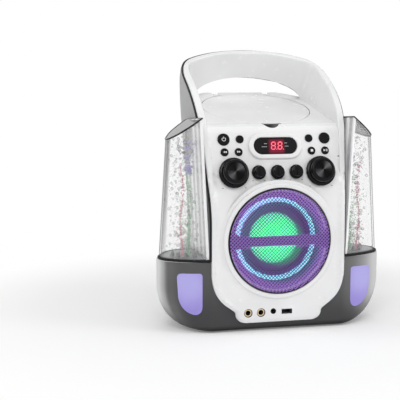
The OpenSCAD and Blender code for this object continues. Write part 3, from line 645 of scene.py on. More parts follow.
# %% Where each section lands
def arch_z(x, half_x=HOLE_X, centre_z=HOLE_Z, rise=HOLE_RISE):
    """Height of the hand hole's arch at width x: an ellipse, wider at the back than in front."""
    return centre_z + rise * np.sqrt(np.clip(1 - (x / half_x) ** 2, 0, 1))


turn = np.clip((upper[:, 1] - CUT_Z) / 62, 0, 1)
fall_angle = np.radians(90 - 68 * turn * turn * (3 - 2 * turn))
fall_y, fall_z = np.sin(fall_angle), -np.cos(fall_angle)
reach = np.linspace(0, 75, 1501)
ray_y = inner_edge[:, 1:2] + fall_y[:, None] * reach
ray_z = inner_edge[:, 2:3] + fall_z[:, None] * reach
skin_z_there = np.interp(ray_y, skin_line[:, 0], skin_line[:, 1])
skin_y_there = np.interp(ray_z, skin_line[:, 1], skin_line[:, 0])
below = (ray_z <= skin_z_there + 0.02) & (ray_y >= skin_y_there - 0.02)
narrow = 1 - 0.10 * turn[:, None] * np.clip(reach / 40, 0, 1)
at_arch = (np.abs(inner_edge[:, 0:1] * narrow) < HOLE_X) & (ray_z <= arch_z(inner_edge[:, 0:1] * narrow))
hit = np.argmax(below | at_arch, axis=1)
rows = np.arange(len(upper))
foot = np.stack([inner_edge[:, 0] * narrow[rows, hit], ray_y[rows, hit], ray_z[rows, hit]], 1)
over_hole = at_arch[rows, hit] & ~below[rows, hit]
first_arch = int(np.argmax(over_hole))
foot[0] = (inner_edge[0, 0] - LIP_FALL, rim_y(upper[0, 1]), upper[0, 1])
print("rim sections:", len(upper), "of which over the hole:", len(upper) - first_arch)

# %% The falling part of each section
drop = foot - inner_edge
length = np.linalg.norm(drop, axis=1, keepdims=True)
knee = np.minimum(2.2, 0.5 * length)
over = inner_edge + knee * 0.7 * across
landing = over + (foot - over) * np.minimum(0.5, knee * 1.4 / np.maximum(length, 1e-6))
t = np.linspace(0, 1, 6)[1:, None, None]
rounded = (1 - t) ** 2 * inner_edge + 2 * t * (1 - t) * over + t**2 * landing
t = np.linspace(0, 1, 9)[1:, None, None]
straight = landing + (foot - landing) * t
half_strip = np.concatenate([lip_points, rounded.transpose(1, 0, 2), straight.transpose(1, 0, 2)], 1)
first_t = np.linspace(0, 1, half_strip.shape[1] - len(lip_d) + 1)[1:]
first_x = inner_edge[0, 0] - first_t * LIP_FALL
half_strip[0, len(lip_d) :] = np.stack(
    [first_x, 0 * first_x + edge[0, 1], 0 * first_x + edge[0, 2]], 1
) + face[0] * (LIP_H * (1 - step_height(first_t * LIP_FALL)))[:, None]
rim_strip = mirrored(grid(half_strip))

# %% [markdown]
# The flat sheet below the cut holds the rest of the lip, the socket tray, the panel and the deck. Its
# height above the skin is a formula of two distances: to the outline, and to the recess.

# %% The recess and the sheet's outline
TRAY_TOP = 36.0
lower = rim_half[1 : cut + 1]
lower_s = np.stack([lower[:, 0], s_of_z(lower[:, 1])], 1)
recess_low = np.concatenate(
    [
        [[0, TRAY_TOP]],
        bend((50, TRAY_TOP), (58, TRAY_TOP + 0.5), (64, 42)),
        bend((65, 42.8), (FASCIA_X - LIP_W, 55), (FASCIA_X - LIP_W, 80)),
    ]
)
recess_low = even(recess_low, STEP)
recess_low[0, 0] = 0.0
step_x = np.interp(lower[:, 1], rim_half[1:, 1], rim_half[1:, 0] - LIP_W)
middle_part = np.stack([step_x, lower_s[:, 1]], 1)[lower[:, 1] > 84]
middle_part[-1] = (foot[0, 0], s_of_z(foot[0, 2]))
on_deck = foot[1:first_arch]
deck_part = np.stack([on_deck[:, 0], np.interp(on_deck[:, 1], skin_line[:, 0], skin_s)], 1)
BACK_N, PLAN_Y = 2.5, 118.0
hole_side = REAR_HOLE_X * math.sqrt(1 - ((SILL_Z - REAR_HOLE_Z) / REAR_HOLE_RISE) ** 2)


def back_y_at(x, half_width, back_y):
    """Y of the rounded back at width x: a superellipse from PLAN_Y to back_y."""
    share = np.clip(np.abs(x) / half_width, 0, 1) ** BACK_N
    return PLAN_Y + (back_y - PLAN_Y) * (1 - share) ** (1 / BACK_N)


WALL = 3.0
sill_x = np.linspace(hole_side, 0, 30)
sill_y = back_y_at(sill_x, HANDLE_X, 197.8) - WALL
sill_part = np.stack([sill_x, np.interp(sill_y, skin_line[:, 0], skin_s)], 1)
side_run_ends = np.stack([deck_part[-1], sill_part[0]])
side_run = even(side_run_ends, STEP)[1:-1]


def both_halves(half):
    """A closed loop from the right half, whose ends may lie on x = 0."""
    left = half[::-1] * (-1, 1)
    return np.concatenate([half, left[left[:, 0] < -0.01]])


cut_d = np.concatenate([lip_d[1:], LIP_W - LIP_FALL + first_t * LIP_FALL])
cut_part = np.stack([edge[0, 0] - cut_d[:-1], 0 * cut_d[:-1] + s_of_z(edge[0, 2])], 1)
recess = both_halves(np.concatenate([recess_low, middle_part, deck_part, side_run, sill_part]))
sheet_half = np.concatenate([lower_s, cut_part, middle_part[-1:], deck_part, side_run, sill_part])
sheet_outline = both_halves(sheet_half)


def sheet_height(flat):
    """The sheet's height: the lip's two formulas together, and 0 in the recess."""
    closed = both_halves(np.concatenate([lower_s, [[edge[0, 0], 400]]]))
    out = lip_height(distance_to(flat, closed))
    step = step_height(distance_to(flat, recess)) * ~inside(flat, recess)
    return out * step


# %% Openings in the sheet
BUTTONS = {
    "power_button": (-65.7, 239, 7.5),
    "source_button": (-45, 239, 4.85),
    "light_button": (45, 239, 4.8),
    "repeat_button": (65.7, 239, 7),
    "previous_button": (-65.5, 223.6, 4.8),
    "next_button": (-47.5, 223.6, 4.8),
    "stop_button": (47.5, 223.6, 4.8),
    "play_button": (65.5, 223.6, 4.8),
}
KNOB_Z = 198.0
LARGE_KNOBS = {"microphone_knob": -56.3, "volume_knob": 56.3}
SMALL_KNOBS = {"echo_knob": -24.3, "balance_knob": 0.0, "treble_knob": 24.3}
DISPLAY_Z, DISPLAY_W, DISPLAY_H = 230.0, 56.0, 21.0
LID_R, LID_GAP = 71.3, 0.9
SOCKET_Z = 24.8
SOCKETS = {"mic_1": (-40.3, SOCKET_Z, 5.45), "mic_2": (-23.7, SOCKET_Z, 5.45), "line": (-7.9, 25.8, 3.6)}
USB_X = 9.8
BUTTON_GAP = 0.35
RING_R = 72.0


def stadium(w, h, n=40):
    """A closed outline of two half circles joined by straight sides."""
    t = np.linspace(-np.pi / 2, np.pi / 2, n // 2)
    right = np.stack([(w - h) / 2 + h / 2 * np.cos(t), h / 2 * np.sin(t)], 1)
    return np.concatenate([right, -right])


def block_outline(w, h, r=0.4, n=4):
    """A rectangle with corners of radius r."""
    t = np.linspace(0, np.pi / 2, n)
    corner_arc = r * np.stack([np.cos(t), np.sin(t)], 1) + (w / 2 - r, h / 2 - r)
    upper_half = np.concatenate([corner_arc, corner_arc[::-1] * (-1, 1)])
    return np.concatenate([upper_half, upper_half[::-1] * (1, -1)])


holes = [ring(RING_R - 1, 120) + (0, SPEAKER_Z)]
holes += [ring(r + BUTTON_GAP, 40) + (x, s_of_z(z)) for x, z, r in BUTTONS.values()]
holes += [ring(4.4, 24) + (x, s_of_z(KNOB_Z)) for x in (*LARGE_KNOBS.values(), *SMALL_KNOBS.values())]
holes += [stadium(DISPLAY_W + 4, DISPLAY_H + 4) + (0, s_of_z(DISPLAY_Z))]
deck_s = np.interp(DECK_Y, skin_line[:, 0], skin_s)
holes += [ring(LID_R + LID_GAP, 160) + (0, deck_s)]
holes += [block_outline(8.7, 8.4, 0.8) + (sign * 36.0, deck_s + 71.35) for sign in (-1, 1)]
NOTCH_R, NOTCH_Z, NOTCH_X, NOTCH_TOP = 14.3, 266.4, 10.4, 256.6
notch_x = np.linspace(-NOTCH_X, NOTCH_X, 25)
notch_low = NOTCH_Z - np.sqrt(NOTCH_R**2 - notch_x**2)
notch_high = NOTCH_TOP - 0.35 * (1 - (notch_x / NOTCH_X) ** 2) + 0.02
notch_low = np.minimum(notch_low, notch_high - 0.02)
notch_loop = np.concatenate(
    [np.stack([notch_x, s_of_z(notch_low)], 1), np.stack([notch_x, s_of_z(notch_high)], 1)[-2:0:-1]]
)
holes += [notch_loop]
holes += [ring(r, 32) + (x, z) for x, z, r in SOCKETS.values()]
holes += [block_outline(13.8, 6.2) + (USB_X, SOCKET_Z)]


def guide_lines():
    """The line that the triangles follow: the recess's edge, up to just below CUT_Z."""
    return [recess[recess[:, 1] < s_of_z(CUT_Z) - 1]]


# %% [markdown]
# ## Finishes of the moulded shells
# The front is glossy white styrene. Real mouldings are never one flat white: they have a faint flow
# in tone and an orange-peel ripple that breaks up reflections. The grey shells are satin, with the
# fine grain that is sparked into their mould. Their paleness is painted sheen, by angle and by
# height, and their foot is painted dark as shade.


# %% White, grey and black plastics
def moulded(name, colour, roughness, ripple=60.0, ripple_depth=0.00002, grain=0.0, **plain):
    """A moulded plastic: a faint flow in tone, a long ripple, and a fine grain if asked."""
    finish = Finish(name, colour, roughness, **plain)
    flow = finish.noise(14.0, 2.0)
    darker = tuple(c * 0.94 for c in colour)
    finish.set("Base Color", flow.between(0.3, 0.7).paint(darker, colour))
    finish.set("Roughness", finish.noise(90.0) * 0.08 + (roughness - 0.04))
    height = finish.noise(ripple, 1.0)
    if grain:
        height = height * (1 - grain) + finish.noise(1400.0, 2.0) * grain
    finish.bump(height, ripple_depth)
    return finish


def satin(finish, face_on, slanting):
    """Grey with a painted sheen: painted paler the more slantingly one sees it, and also by height.

    The painted sheen starts above the foot, a painted band of light lifts the base, and the sheen is
    halved on the shell above it. The lowest centimetre is painted nearly black as painted shade. Light
    alone wouldn't make these tones.
    """
    facing = finish.start.make("ShaderNodeLayerWeight", None, {"Blend": 0.5}, output=1)
    _, _, height = finish.parts()
    flow = finish.noise(14.0, 2.0) * 0.06 - 0.03
    above_foot, on_shell = height.between(0.006, 0.05), height.between(0.10, 0.16)
    painted_light_band = height.between(0.015, 0.085) * (1 - height.between(0.09, 0.10)) * 0.07
    sheen = facing.between(0.02, 0.66) * above_foot * (1 - on_shell * 0.5) + painted_light_band
    foot_shade = height.between(0.003, 0.010).paint((0.006, 0.006, 0.006), face_on)
    finish.set("Base Color", (sheen + flow * above_foot).paint(foot_shade, slanting))
    return finish


white = moulded("white_moulding", (0.86, 0.86, 0.865), 0.26, Coat_Weight=0.25, Coat_Roughness=0.12)
grey = moulded("grey_satin_moulding", (0.1, 0.1, 0.1), 0.42, 90.0, 0.00004, grain=0.6, Specular_IOR_Level=0.3)
satin(grey, (0.046, 0.046, 0.048), (0.62, 0.62, 0.625))
black_line = moulded("black_trim_line", (0.008, 0.008, 0.009), 0.35, Specular_IOR_Level=0.2)
gloss_black = moulded(
    "gloss_black", (0.004, 0.004, 0.005), 0.16, 40.0, 0.000008, Specular_IOR_Level=0.12, Coat_Weight=0.05
)
matt_black = moulded(
    "matt_black", (0.010, 0.010, 0.011), 0.55, 200.0, 0.00003, grain=0.5, Specular_IOR_Level=0.15
)

# %% The front moulding
flat, triangles = holed_sheet(sheet_outline, holes, 3.4, guide_lines())
sheet_points = on_skin(flat[:, 0], flat[:, 1], sheet_height(flat))
front_sheet = (sheet_points, triangles)
print("front sheet:", len(flat), "points,", len(triangles), "triangles")

SIDE_LAYER, BASE_LAYER = 2.4, 4.0
whole_edge = np.stack([rim_half[:, 0], rim_y(rim_half[:, 1]), rim_half[:, 1]], 1)
skirt_back = np.where(rim_half[:, 1] < 90, BASE_LAYER, SIDE_LAYER)
skirt_rows = np.stack([whole_edge, whole_edge + (0, 1, 0) * skirt_back[:, None]], 0)
skirt = mirrored(grid(skirt_rows))

HOLE_STEPS = 61
arch_start = math.asin((SILL_Z - REAR_HOLE_Z) / REAR_HOLE_RISE)
arch_turn = arch_start + (np.pi - 2 * arch_start) * np.linspace(0, 1, HOLE_STEPS)
rear_arch_x = REAR_HOLE_X * np.cos(arch_turn)
rear_arch = np.stack(
    [
        rear_arch_x,
        back_y_at(rear_arch_x, HANDLE_X, 197.0) - 1.0,
        REAR_HOLE_Z + REAR_HOLE_RISE * np.sin(arch_turn),
    ],
    1,
)
front_half = foot[first_arch - 1 :]
front_arch = np.concatenate([front_half, front_half[-2::-1] * (-1, 1, 1)])
lining_front = even(front_arch, 1.0)
share = np.linspace(0, 1, HOLE_STEPS)
along = np.linspace(0, 1, len(lining_front))
lining_front = np.stack([np.interp(share, along, lining_front[:, k]) for k in range(3)], 1)
t = np.linspace(0, 1, 13)[:, None, None]
lining = lining_front * (1 - t) + rear_arch * t
side_flat = side_run_ends[0] * (1 - t[:, 0]) + side_run_ends[1] * t[:, 0]
deck_side = on_skin(side_flat[:, 0], side_flat[:, 1], 0 * side_flat[:, 0]) - (0, 0, 0.05)
near_deck = (1 - np.clip(share / 0.10, 0, 1))[None, :, None] ** 2
lining = lining + near_deck * (deck_side - lining[:, 0])[:, None]
near_deck = near_deck[:, ::-1]
lining = grid(lining + near_deck * (deck_side * (-1, 1, 1) - lining[:, -1])[:, None])

piece(
    "front_moulding",
    join(front_sheet, rim_strip, skirt),
    white,
    stands_for=("front_shell",),
    inner=(0, 120, 150),
    crease=50,
    merge=0.12,
)
share = np.linspace(0, 1, 9)[:, None]
notch_s = s_of_z(notch_low) * (1 - share) + s_of_z(notch_high) * share
notch_depth = -0.1 - 5.0 * np.sin(np.pi * share) * (1 - (notch_x / NOTCH_X) ** 2) ** 0.5
scoop_shape = grid(on_skin(notch_x + 0 * share, notch_s, notch_depth))
# The scoop is white moulding; its colour is painted shade, near black at its left and paler grey to its
# right.
scoop = Finish("scoop_shade", (0.03, 0.03, 0.03), 0.5)
scoop_shade_ramp = scoop.parts()[0] + scoop.noise(200.0) * 0.002
scoop.set("Base Color", scoop_shade_ramp.between(-0.002, 0.012).paint((0.012, 0.012, 0.013), (0.22, 0.22, 0.225)))
scoop.bump(scoop.noise(500.0), 0.00003)
piece("finger_scoop", scoop_shape, scoop, inner=(0, 60, 262))
hand_lining = piece("hand_hole_lining", lining, white, inner=(0, 170, 340), crease=60)
thicken(hand_lining, 1.2)

# %% [markdown]
# ## The grey back and the black line
# The rear shell wraps round the column like a horseshoe. At each height its plan is a superellipse,
# a shape between an ellipse and a box, and over the handle the same curve is turned upwards. Both
# parts are grids that share the row where they meet.

# %% Rear shell
TRIM_LAYER = 1.0
BACK_Y = 202.0
BASE_H = 90.0
back_line = np.array([[BACK_Y, 0], [BACK_Y, 225], [BACK_Y - 0.4, 240], [BACK_Y - 8, 334], [179, TOP_Z]])


def back_y(z):
    """Y of the back's middle line at height z."""
    return np.interp(z, back_line[:, 1], back_line[:, 0])


side = side_half[side_half[:, 1] < 311.5]


def column_x(z):
    """Half width of the column at height z."""
    z_line = np.concatenate([[0, 130], side[:, 1]])
    x_line = np.concatenate([[FASCIA_X, FASCIA_X], side[:, 0]])
    return np.interp(z, z_line, x_line)


def swept_round(edge_x, edge_z, start_y, centre_z, stop_r, n_straight=8, n_round=15, n_rest=12, rest=True):
    """Rows that leave the rim straight backwards, then turn inwards as a superellipse.

    Along each row r is the distance from the axis at centre_z. r = R cos(p)^(2/n) and
    y = c + (b - c) sin(p)^(2/n), and the row stops at r = stop_r or goes on to the axis."""
    run_x, run_z = edge_x, edge_z - centre_z
    full = np.hypot(run_x, run_z)
    turn_y = np.maximum(PLAN_Y, start_y + 2)
    stop = np.arccos(np.clip(stop_r / full, 0, 1) ** (BACK_N / 2))
    p = stop[:, None] * np.linspace(0, 1, n_round)
    if rest:
        more = stop[:, None] + (np.pi / 2 - stop[:, None]) * np.linspace(0, 1, n_rest)[1:]
        p = np.concatenate([p, more], 1)
    r_share = np.cos(p).clip(0, 1) ** (2 / BACK_N)
    y_share = np.sin(p).clip(0, 1) ** (2 / BACK_N)
    z = centre_z[:, None] + run_z[:, None] * r_share
    round_y = turn_y[:, None] + (back_y(z) - turn_y[:, None]) * y_share
    round_part = np.stack([run_x[:, None] * r_share, round_y, z], -1)
    t = np.linspace(0, 1, n_straight)[:-1]
    straight_y = start_y[:, None] + (turn_y - start_y)[:, None] * t
    shape = straight_y.shape
    flat_part = np.stack(
        [np.broadcast_to(edge_x[:, None], shape), straight_y, np.broadcast_to(edge_z[:, None], shape)], -1
    )
    return np.concatenate([flat_part, round_part], 1)


low_z = np.concatenate([np.linspace(BASE_H, 276, 48), [279, SILL_Z]])
low_rows = swept_round(
    column_x(low_z), low_z, rim_y(low_z) + SIDE_LAYER + TRIM_LAYER, low_z, np.full(len(low_z), hole_side)
)
crown_edge = rim_half[rim_half[:, 1] > SILL_Z]
crown_edge = np.concatenate([[[column_x(SILL_Z), SILL_Z]], crown_edge])
crown_angle = np.arctan2(crown_edge[:, 1] - SILL_Z, crown_edge[:, 0])
ray = np.linspace(0, 1, 400)[:, None] * REAR_HOLE_X
hole_x_ray, hole_z_ray = ray * np.cos(crown_angle), SILL_Z + ray * np.sin(crown_angle)
in_hole = hole_z_ray <= arch_z(hole_x_ray, REAR_HOLE_X, REAR_HOLE_Z, REAR_HOLE_RISE) + 1e-6
stop_r = (in_hole * ray).max(0)
stop_r[0] = hole_side
crown_rows = swept_round(
    crown_edge[:, 0],
    crown_edge[:, 1],
    rim_y(crown_edge[:, 1]) + SIDE_LAYER + TRIM_LAYER,
    np.full(len(crown_edge), SILL_Z),
    stop_r,
    rest=False,
)
rest_x = low_rows[-1, :, 0]
rest_part = low_rows[-1][rest_x <= hole_side + 0.01]
fall_s = np.interp(rest_part[:, 1] - WALL, skin_line[:, 0], skin_s)
edge_z = on_skin(rest_part[:, 0], fall_s, 0 * fall_s)[:, 2]
t = np.linspace(0, 1, 5)[:, None]
sill_rows = np.stack(
    [
        rest_part[:, 0] + 0 * t,
        rest_part[:, 1] + (back_y(np.maximum(edge_z, SILL_Z)) - back_y(SILL_Z)) * t,
        SILL_Z + (np.maximum(edge_z, SILL_Z) - SILL_Z) * t,
    ],
    -1,
)
rear = piece(
    "rear_cover",
    mirrored(join(grid(low_rows), grid(crown_rows), grid(sill_rows))),
    grey,
    stands_for=("rear_shell",),
    inner=(0, 110, 180),
    crease=55,
    merge=0.1,
)
thicken(rear, 2.6)

# %% The black line between white and grey
LINE_PROUD = 2.2
line_rows = np.array([[0, 0], [0.6, 0.05], [0.9, 0.3], [1, 0.8], [1, 2.4], [0.7, 3.1], [0, 3.3]])
line_rows = line_rows * (LINE_PROUD, 1) + (0, SIDE_LAYER)
trim_edge = rim_half[rim_half[:, 1] > BASE_H - 1]
trim_tangent = np.gradient(trim_edge, axis=0)
trim_tangent[-1] = (-1, 0)
trim_out = np.stack([trim_tangent[:, 1], -trim_tangent[:, 0]], 1)
trim_out /= np.linalg.norm(trim_out, axis=1, keepdims=True)
trim_out *= 0.8 + 0.2 * np.abs(trim_out[:, :1])
trim_points = np.stack(
    [
        trim_edge[:, 0] + line_rows[:, 0:1] * trim_out[:, 0],
        rim_y(trim_edge[:, 1]) + line_rows[:, 1:2],
        trim_edge[:, 1] + line_rows[:, 0:1] * trim_out[:, 1],
    ],
    -1,
)
trim = piece(
    "black_edge_line", mirrored(grid(trim_points)), black_line, stands_for=("edge_trim",),
    inner=(0, 110, 200),
)
thicken(trim, 1.5)

# %% [markdown]
# ## The base and its side windows
# The base is a plan outline that is drawn in towards the table. Its pods narrow as a quarter ellipse,
# so the corners look like the bottom of a bowl. The lilac windows follow the same surface.

# %% Base shell
BASE_Y = 4.0
POD_CENTRE_X, POD_CENTRE_Z = 100.0, 58.0
pod_half = np.concatenate(
    [
        [[0, BASE_Y]],
        bend((FASCIA_X, BASE_Y), (116, BASE_Y + 2), (132.6, 19)),
        bend((139, 24), (153, 42), (141, 62)),
        bend((137, 69), (122, 100), (HANDLE_X + 1, 112)),
    ]
)
back_t = np.radians(np.linspace(6, 90, 30))
back_half = np.stack(
    [(HANDLE_X + 1) * np.cos(back_t), PLAN_Y + (BACK_Y - PLAN_Y) * np.sin(back_t)], 1
)
base_half = even(np.concatenate([pod_half, back_half]), 3.0)
base_half[0, 0] = 0.0
base_half[-1, 0] = 0.0
base_loop = both_halves(base_half)
pod_reach = base_loop[:, 0].max() - FASCIA_X


def pod_share(z):
    """How wide the pods are at height z, as a share of their full width beyond the column."""
    low = np.clip((POD_CENTRE_Z - z) / (POD_CENTRE_Z - 2), 0, 1)
    widest = POD_CENTRE_X + (FASCIA_X + pod_reach - POD_CENTRE_X) * np.sqrt(1 - low**2 * 0.985)
    return (widest - FASCIA_X) / pod_reach


def base_points(loop, z, draw_in=0.0):
    """The base's plan at height z: pods narrowed by pod_share, and all drawn in by a few mm."""
    beyond = np.clip(np.abs(loop[:, 0]) - FASCIA_X, 0, None)
    x = np.sign(loop[:, 0]) * (np.minimum(np.abs(loop[:, 0]), FASCIA_X) + beyond * pod_share(z))
    centre = np.array([0, 105.0])
    towards = centre - np.stack([x, loop[:, 1]], 1)
    towards /= np.linalg.norm(towards, axis=1, keepdims=True)
    return np.concatenate(
        [np.stack([x, loop[:, 1]], 1) + draw_in * towards, np.full((len(loop), 1), z)], 1
    )


INLET_Z, INLET_H = 34.0, 12.0
heights = np.array(
    [2.0, 2.2, 3.0, 4.5, 7, 10, 15, 20, 25, 28, 34, 36, 38, 40, 45, 52, 60, 68, 76, 84, 88.4, 89.6, 90]
)
foot_round = 5.0 * (1 - np.sqrt(np.clip(1 - (1 - np.clip((heights - 2) / 5, 0, 1)) ** 2, 0, 1)))
top_round = 1.2 * (1 - np.sqrt(np.clip(1 - np.clip((heights - 88.8) / 1.2, 0, 1) ** 2, 0, 1)))
base_rows = np.stack([base_points(base_loop, z, a + b) for z, a, b in zip(heights, foot_round, top_round)])
vertices, quads = grid(base_rows, wrap=True)
middle = vertices[np.array(quads)].mean(1)
hidden = (middle[:, 1] < 8) & (
    (np.abs(middle[:, 0]) < 72) & (middle[:, 2] > 38)
    | (np.abs(middle[:, 0]) < 51) & (middle[:, 2] > 15) & (middle[:, 2] < 36)
)
hidden |= (middle[:, 1] > 190) & (np.abs(middle[:, 0]) < 11) & (np.abs(middle[:, 2] - INLET_Z) < INLET_H / 2)
quads = [q for q, gone in zip(quads, hidden) if not gone]
top_ring = base_points(base_loop, BASE_H, 1.2)
inner_ring = top_ring.copy()
inner_ring[:, :2] = (inner_ring[:, :2] - (0, 105)) * 0.72 + (0, 105)
ring_points, ring_quads = grid(np.stack([top_ring, inner_ring]), wrap=True)
ring_middle = ring_points[np.array(ring_quads)].mean(1)
over_pods = (np.abs(ring_middle[:, 0]) > 80) | (ring_middle[:, 1] > 60)
ring_quads = [q for q, kept in zip(ring_quads, over_pods) if kept]
piece(
    "base_cover",
    join((vertices, quads), (ring_points, ring_quads), cap(base_rows[0][::-1])),
    grey,
    stands_for=("base_shell",),
    inner=(0, 105, 45),
    crease=45,
)

# %% Windows
WIN_IN, WIN_OUT, WIN_LOW, WIN_HIGH = 97.0, 127.0, 25.0, 76.0
window_half = np.concatenate(
    [
        bend((WIN_IN, WIN_LOW + 9), (WIN_IN + 0.6, WIN_LOW - 0.4), (WIN_IN + 8, WIN_LOW - 1), 10),
        bend((WIN_IN + 10, WIN_LOW - 0.9), (WIN_OUT - 4.5, WIN_LOW + 3), (WIN_OUT - 1.4, 46), 20),
        bend((WIN_OUT, WIN_HIGH - 6), (WIN_OUT, WIN_HIGH), (WIN_OUT - 6, WIN_HIGH), 8),
        bend((WIN_IN + 4, WIN_HIGH), (WIN_IN, WIN_HIGH), (WIN_IN, WIN_HIGH - 4), 8),
    ]
)
window_loop = even(np.concatenate([window_half, window_half[:1]]), 1.5)[:-1]
pod_front = base_half[: int(np.argmax(base_half[:, 0])) + 1]


def pod_front_y(x, z):
    """Y of the pod's front at width x and height z, from the plan undone by pod_share."""
    full_x = FASCIA_X + (x - FASCIA_X) / pod_share(z)
    return np.interp(full_x, pod_front[:, 0], pod_front[:, 1])


window_centre = np.array([112.0, 50.0])
window_steps = [
    (1.0, -0.6), (1.0, 0.15), (0.985, 0.42), (0.955, 0.55), (0.8, 0.6), (0.5, 0.6), (0.2, 0.6), (0.0, 0.6),
]
window_rows = []
for share, proud in window_steps:
    place = window_centre + (window_loop - window_centre) * share
    window_rows.append(np.stack([place[:, 0], pod_front_y(place[:, 0], place[:, 1]) - proud, place[:, 1]], 1))
window_shape = grid(np.stack(window_rows), wrap=True)


def lilac_finish(name, centre):
    """Frosted plastic lit from behind: brightest in the middle, with a faint cloudiness."""
    finish = Finish(name, (0.20, 0.17, 0.36), 0.5, Specular_IOR_Level=0.2)
    away = finish.start.make(
        "ShaderNodeVectorMath", {"operation": "DISTANCE"}, {0: finish.place, 1: centre}, output=1
    )
    cloud = finish.noise(60.0) * 0.25
    mask = away.between(0.036, 0.006) * 0.85 + cloud
    glow = mask.paint((0.20, 0.145, 0.52), (0.42, 0.41, 0.74))
    finish.glow(glow, 0.6)
    finish.bump(finish.noise(900.0, 2.0), 0.00003)
    return finish


for side_name, sign in (("left", -1), ("right", 1)):
    place = to_frame((sign * 114, 10, 62))
    shape = (window_shape[0] * (sign, 1, 1), window_shape[1])
    piece(
        f"{side_name}_lit_window",
        shape,
        lilac_finish(f"{side_name}_window_lilac", tuple(place)),
        stands_for=(f"{side_name}_window",),
        inner=(sign * 112, 60, 50),
    )

# %% Frame of the mains inlet
inlet_steps = [
    (28, 20, 201.4), (28, 20, 202.6), (27, 19, 203.2), (21, 13, 203.2), (20, 12, 202.6), (20, 12, 190),
]
inlet_rows = []
for w, h, y in inlet_steps:
    loop = block_outline(w, h, 2.0) + (0, INLET_Z)
    inlet_rows.append(np.stack([loop[:, 0], np.full(len(loop), y), loop[:, 1]], 1)[::-1])
piece(
    "inlet_frame", grid(np.stack(inlet_rows), wrap=True), matt_black, inner=(0, 180, INLET_Z),
)

# %% [markdown]
# ## The water tanks
# Each tank is a clear thin-walled moulding that narrows upwards and has a slanted roof. A clear wall is
# seen by its edges: it is nearly invisible face on and dark where one looks along it. So its alpha
# and a painted darkness, which stands for what the wall reflects, follow the facing angle, and the
# wall has a real thickness.

# %% Tank shells
TANK_FOOT = BASE_H + 1.2
TANK_IN_X, TANK_OUT_X = 88.6, 143.3
TANK_TOP, ROOF, ROOF_BACK = 244.0, 0.46, 0.055
IN_LEAN, OUT_LEAN = math.tan(math.radians(2.9)), math.tan(math.radians(3.6))
tank_loop = np.concatenate(
    [
        bend((TANK_IN_X, 4), (116, 9), (131, 21)),
        bend((137, 26), (150, 42), (138, 61)),
        bend((134, 68), (122, 90), (104, 90)),
        bend((98, 90), (TANK_IN_X, 90), (TANK_IN_X, 80), 8),
        bend((TANK_IN_X, 60), (TANK_IN_X, 40), (TANK_IN_X, 16), 8),
    ]
)
tank_loop = even(np.concatenate([tank_loop, tank_loop[:1]]), 2.0)[:-1]


def roof_z(x0, y):
    """The roof's height over a point of the tank's foot: it falls outwards and a little backwards."""
    return TANK_TOP + (133.4 - x0) * ROOF - (y - 47) * ROOF_BACK


def tank_points(loop, share, inset=0.0):
    """The tank's plan at a share of its height, squeezed in X between its two leaning walls."""
    middle = loop.mean(0)
    towards = middle - loop
    loop = loop + towards / np.linalg.norm(towards, axis=1, keepdims=True) * inset
    x0 = loop[:, 0]
    z = TANK_FOOT + (roof_z(x0, loop[:, 1]) - TANK_FOOT) * share
    left = TANK_IN_X + IN_LEAN * (z - TANK_FOOT)
    right = TANK_OUT_X - OUT_LEAN * (z - TANK_FOOT)
    x = left + (x0 - TANK_IN_X) * (right - left) / (TANK_OUT_X - TANK_IN_X)
    return np.stack([x, loop[:, 1], z], 1)


wall_rows = [tank_points(tank_loop, k) for k in np.linspace(0, 0.993, 24)]
roof_rows = [
    tank_points(tank_loop, 0.998, 0.3),
    tank_points(tank_loop, 1.0, 0.9),
    tank_points(tank_loop, 1.0, 3.0),
    tank_points(tank_loop, 1.0, 8.0),
    tank_points(tank_loop, 1.0, 14.0),
]
roof_centre = tank_points(tank_loop, 1.0, 14.0)
tank_shape = join(grid(np.stack(wall_rows + roof_rows), wrap=True), cap(roof_centre))


def clear_finish(name, face_alpha, edge_alpha, dark, start=0.60, full=0.93):
    """A clear wall whose alpha and painted dark tone grow towards its edges, by the facing angle: the dark
    tone is painted reflection.
    """
    finish = Finish(name, (0.9, 0.92, 0.93), 0.05, IOR=1.45, Specular_IOR_Level=0.6)
    facing = finish.start.make("ShaderNodeLayerWeight", None, {"Blend": 0.5}, output=1)
    cloud = finish.noise(30.0) * 0.05
    alpha = facing.between(start, full) * (edge_alpha - face_alpha) + face_alpha + cloud
    tone = facing.between(start, 0.5 * (start + full)).paint((0.86, 0.87, 0.88), dark)
    finish.bump(finish.noise(22.0, 1.0), 0.0001)
    return finish, alpha, tone


FROST_FROM, FROST_TO, FROST_ALPHA, FROST_PAINTED_GLOW = 0.0032, 0.0028, 0.72, 0.12
DARK_REFLECTION_Z, DARK_REFLECTION_Y = (0.222, 0.226), ((FASCIA_Y + 66) * MM, (FASCIA_Y + 70) * MM)


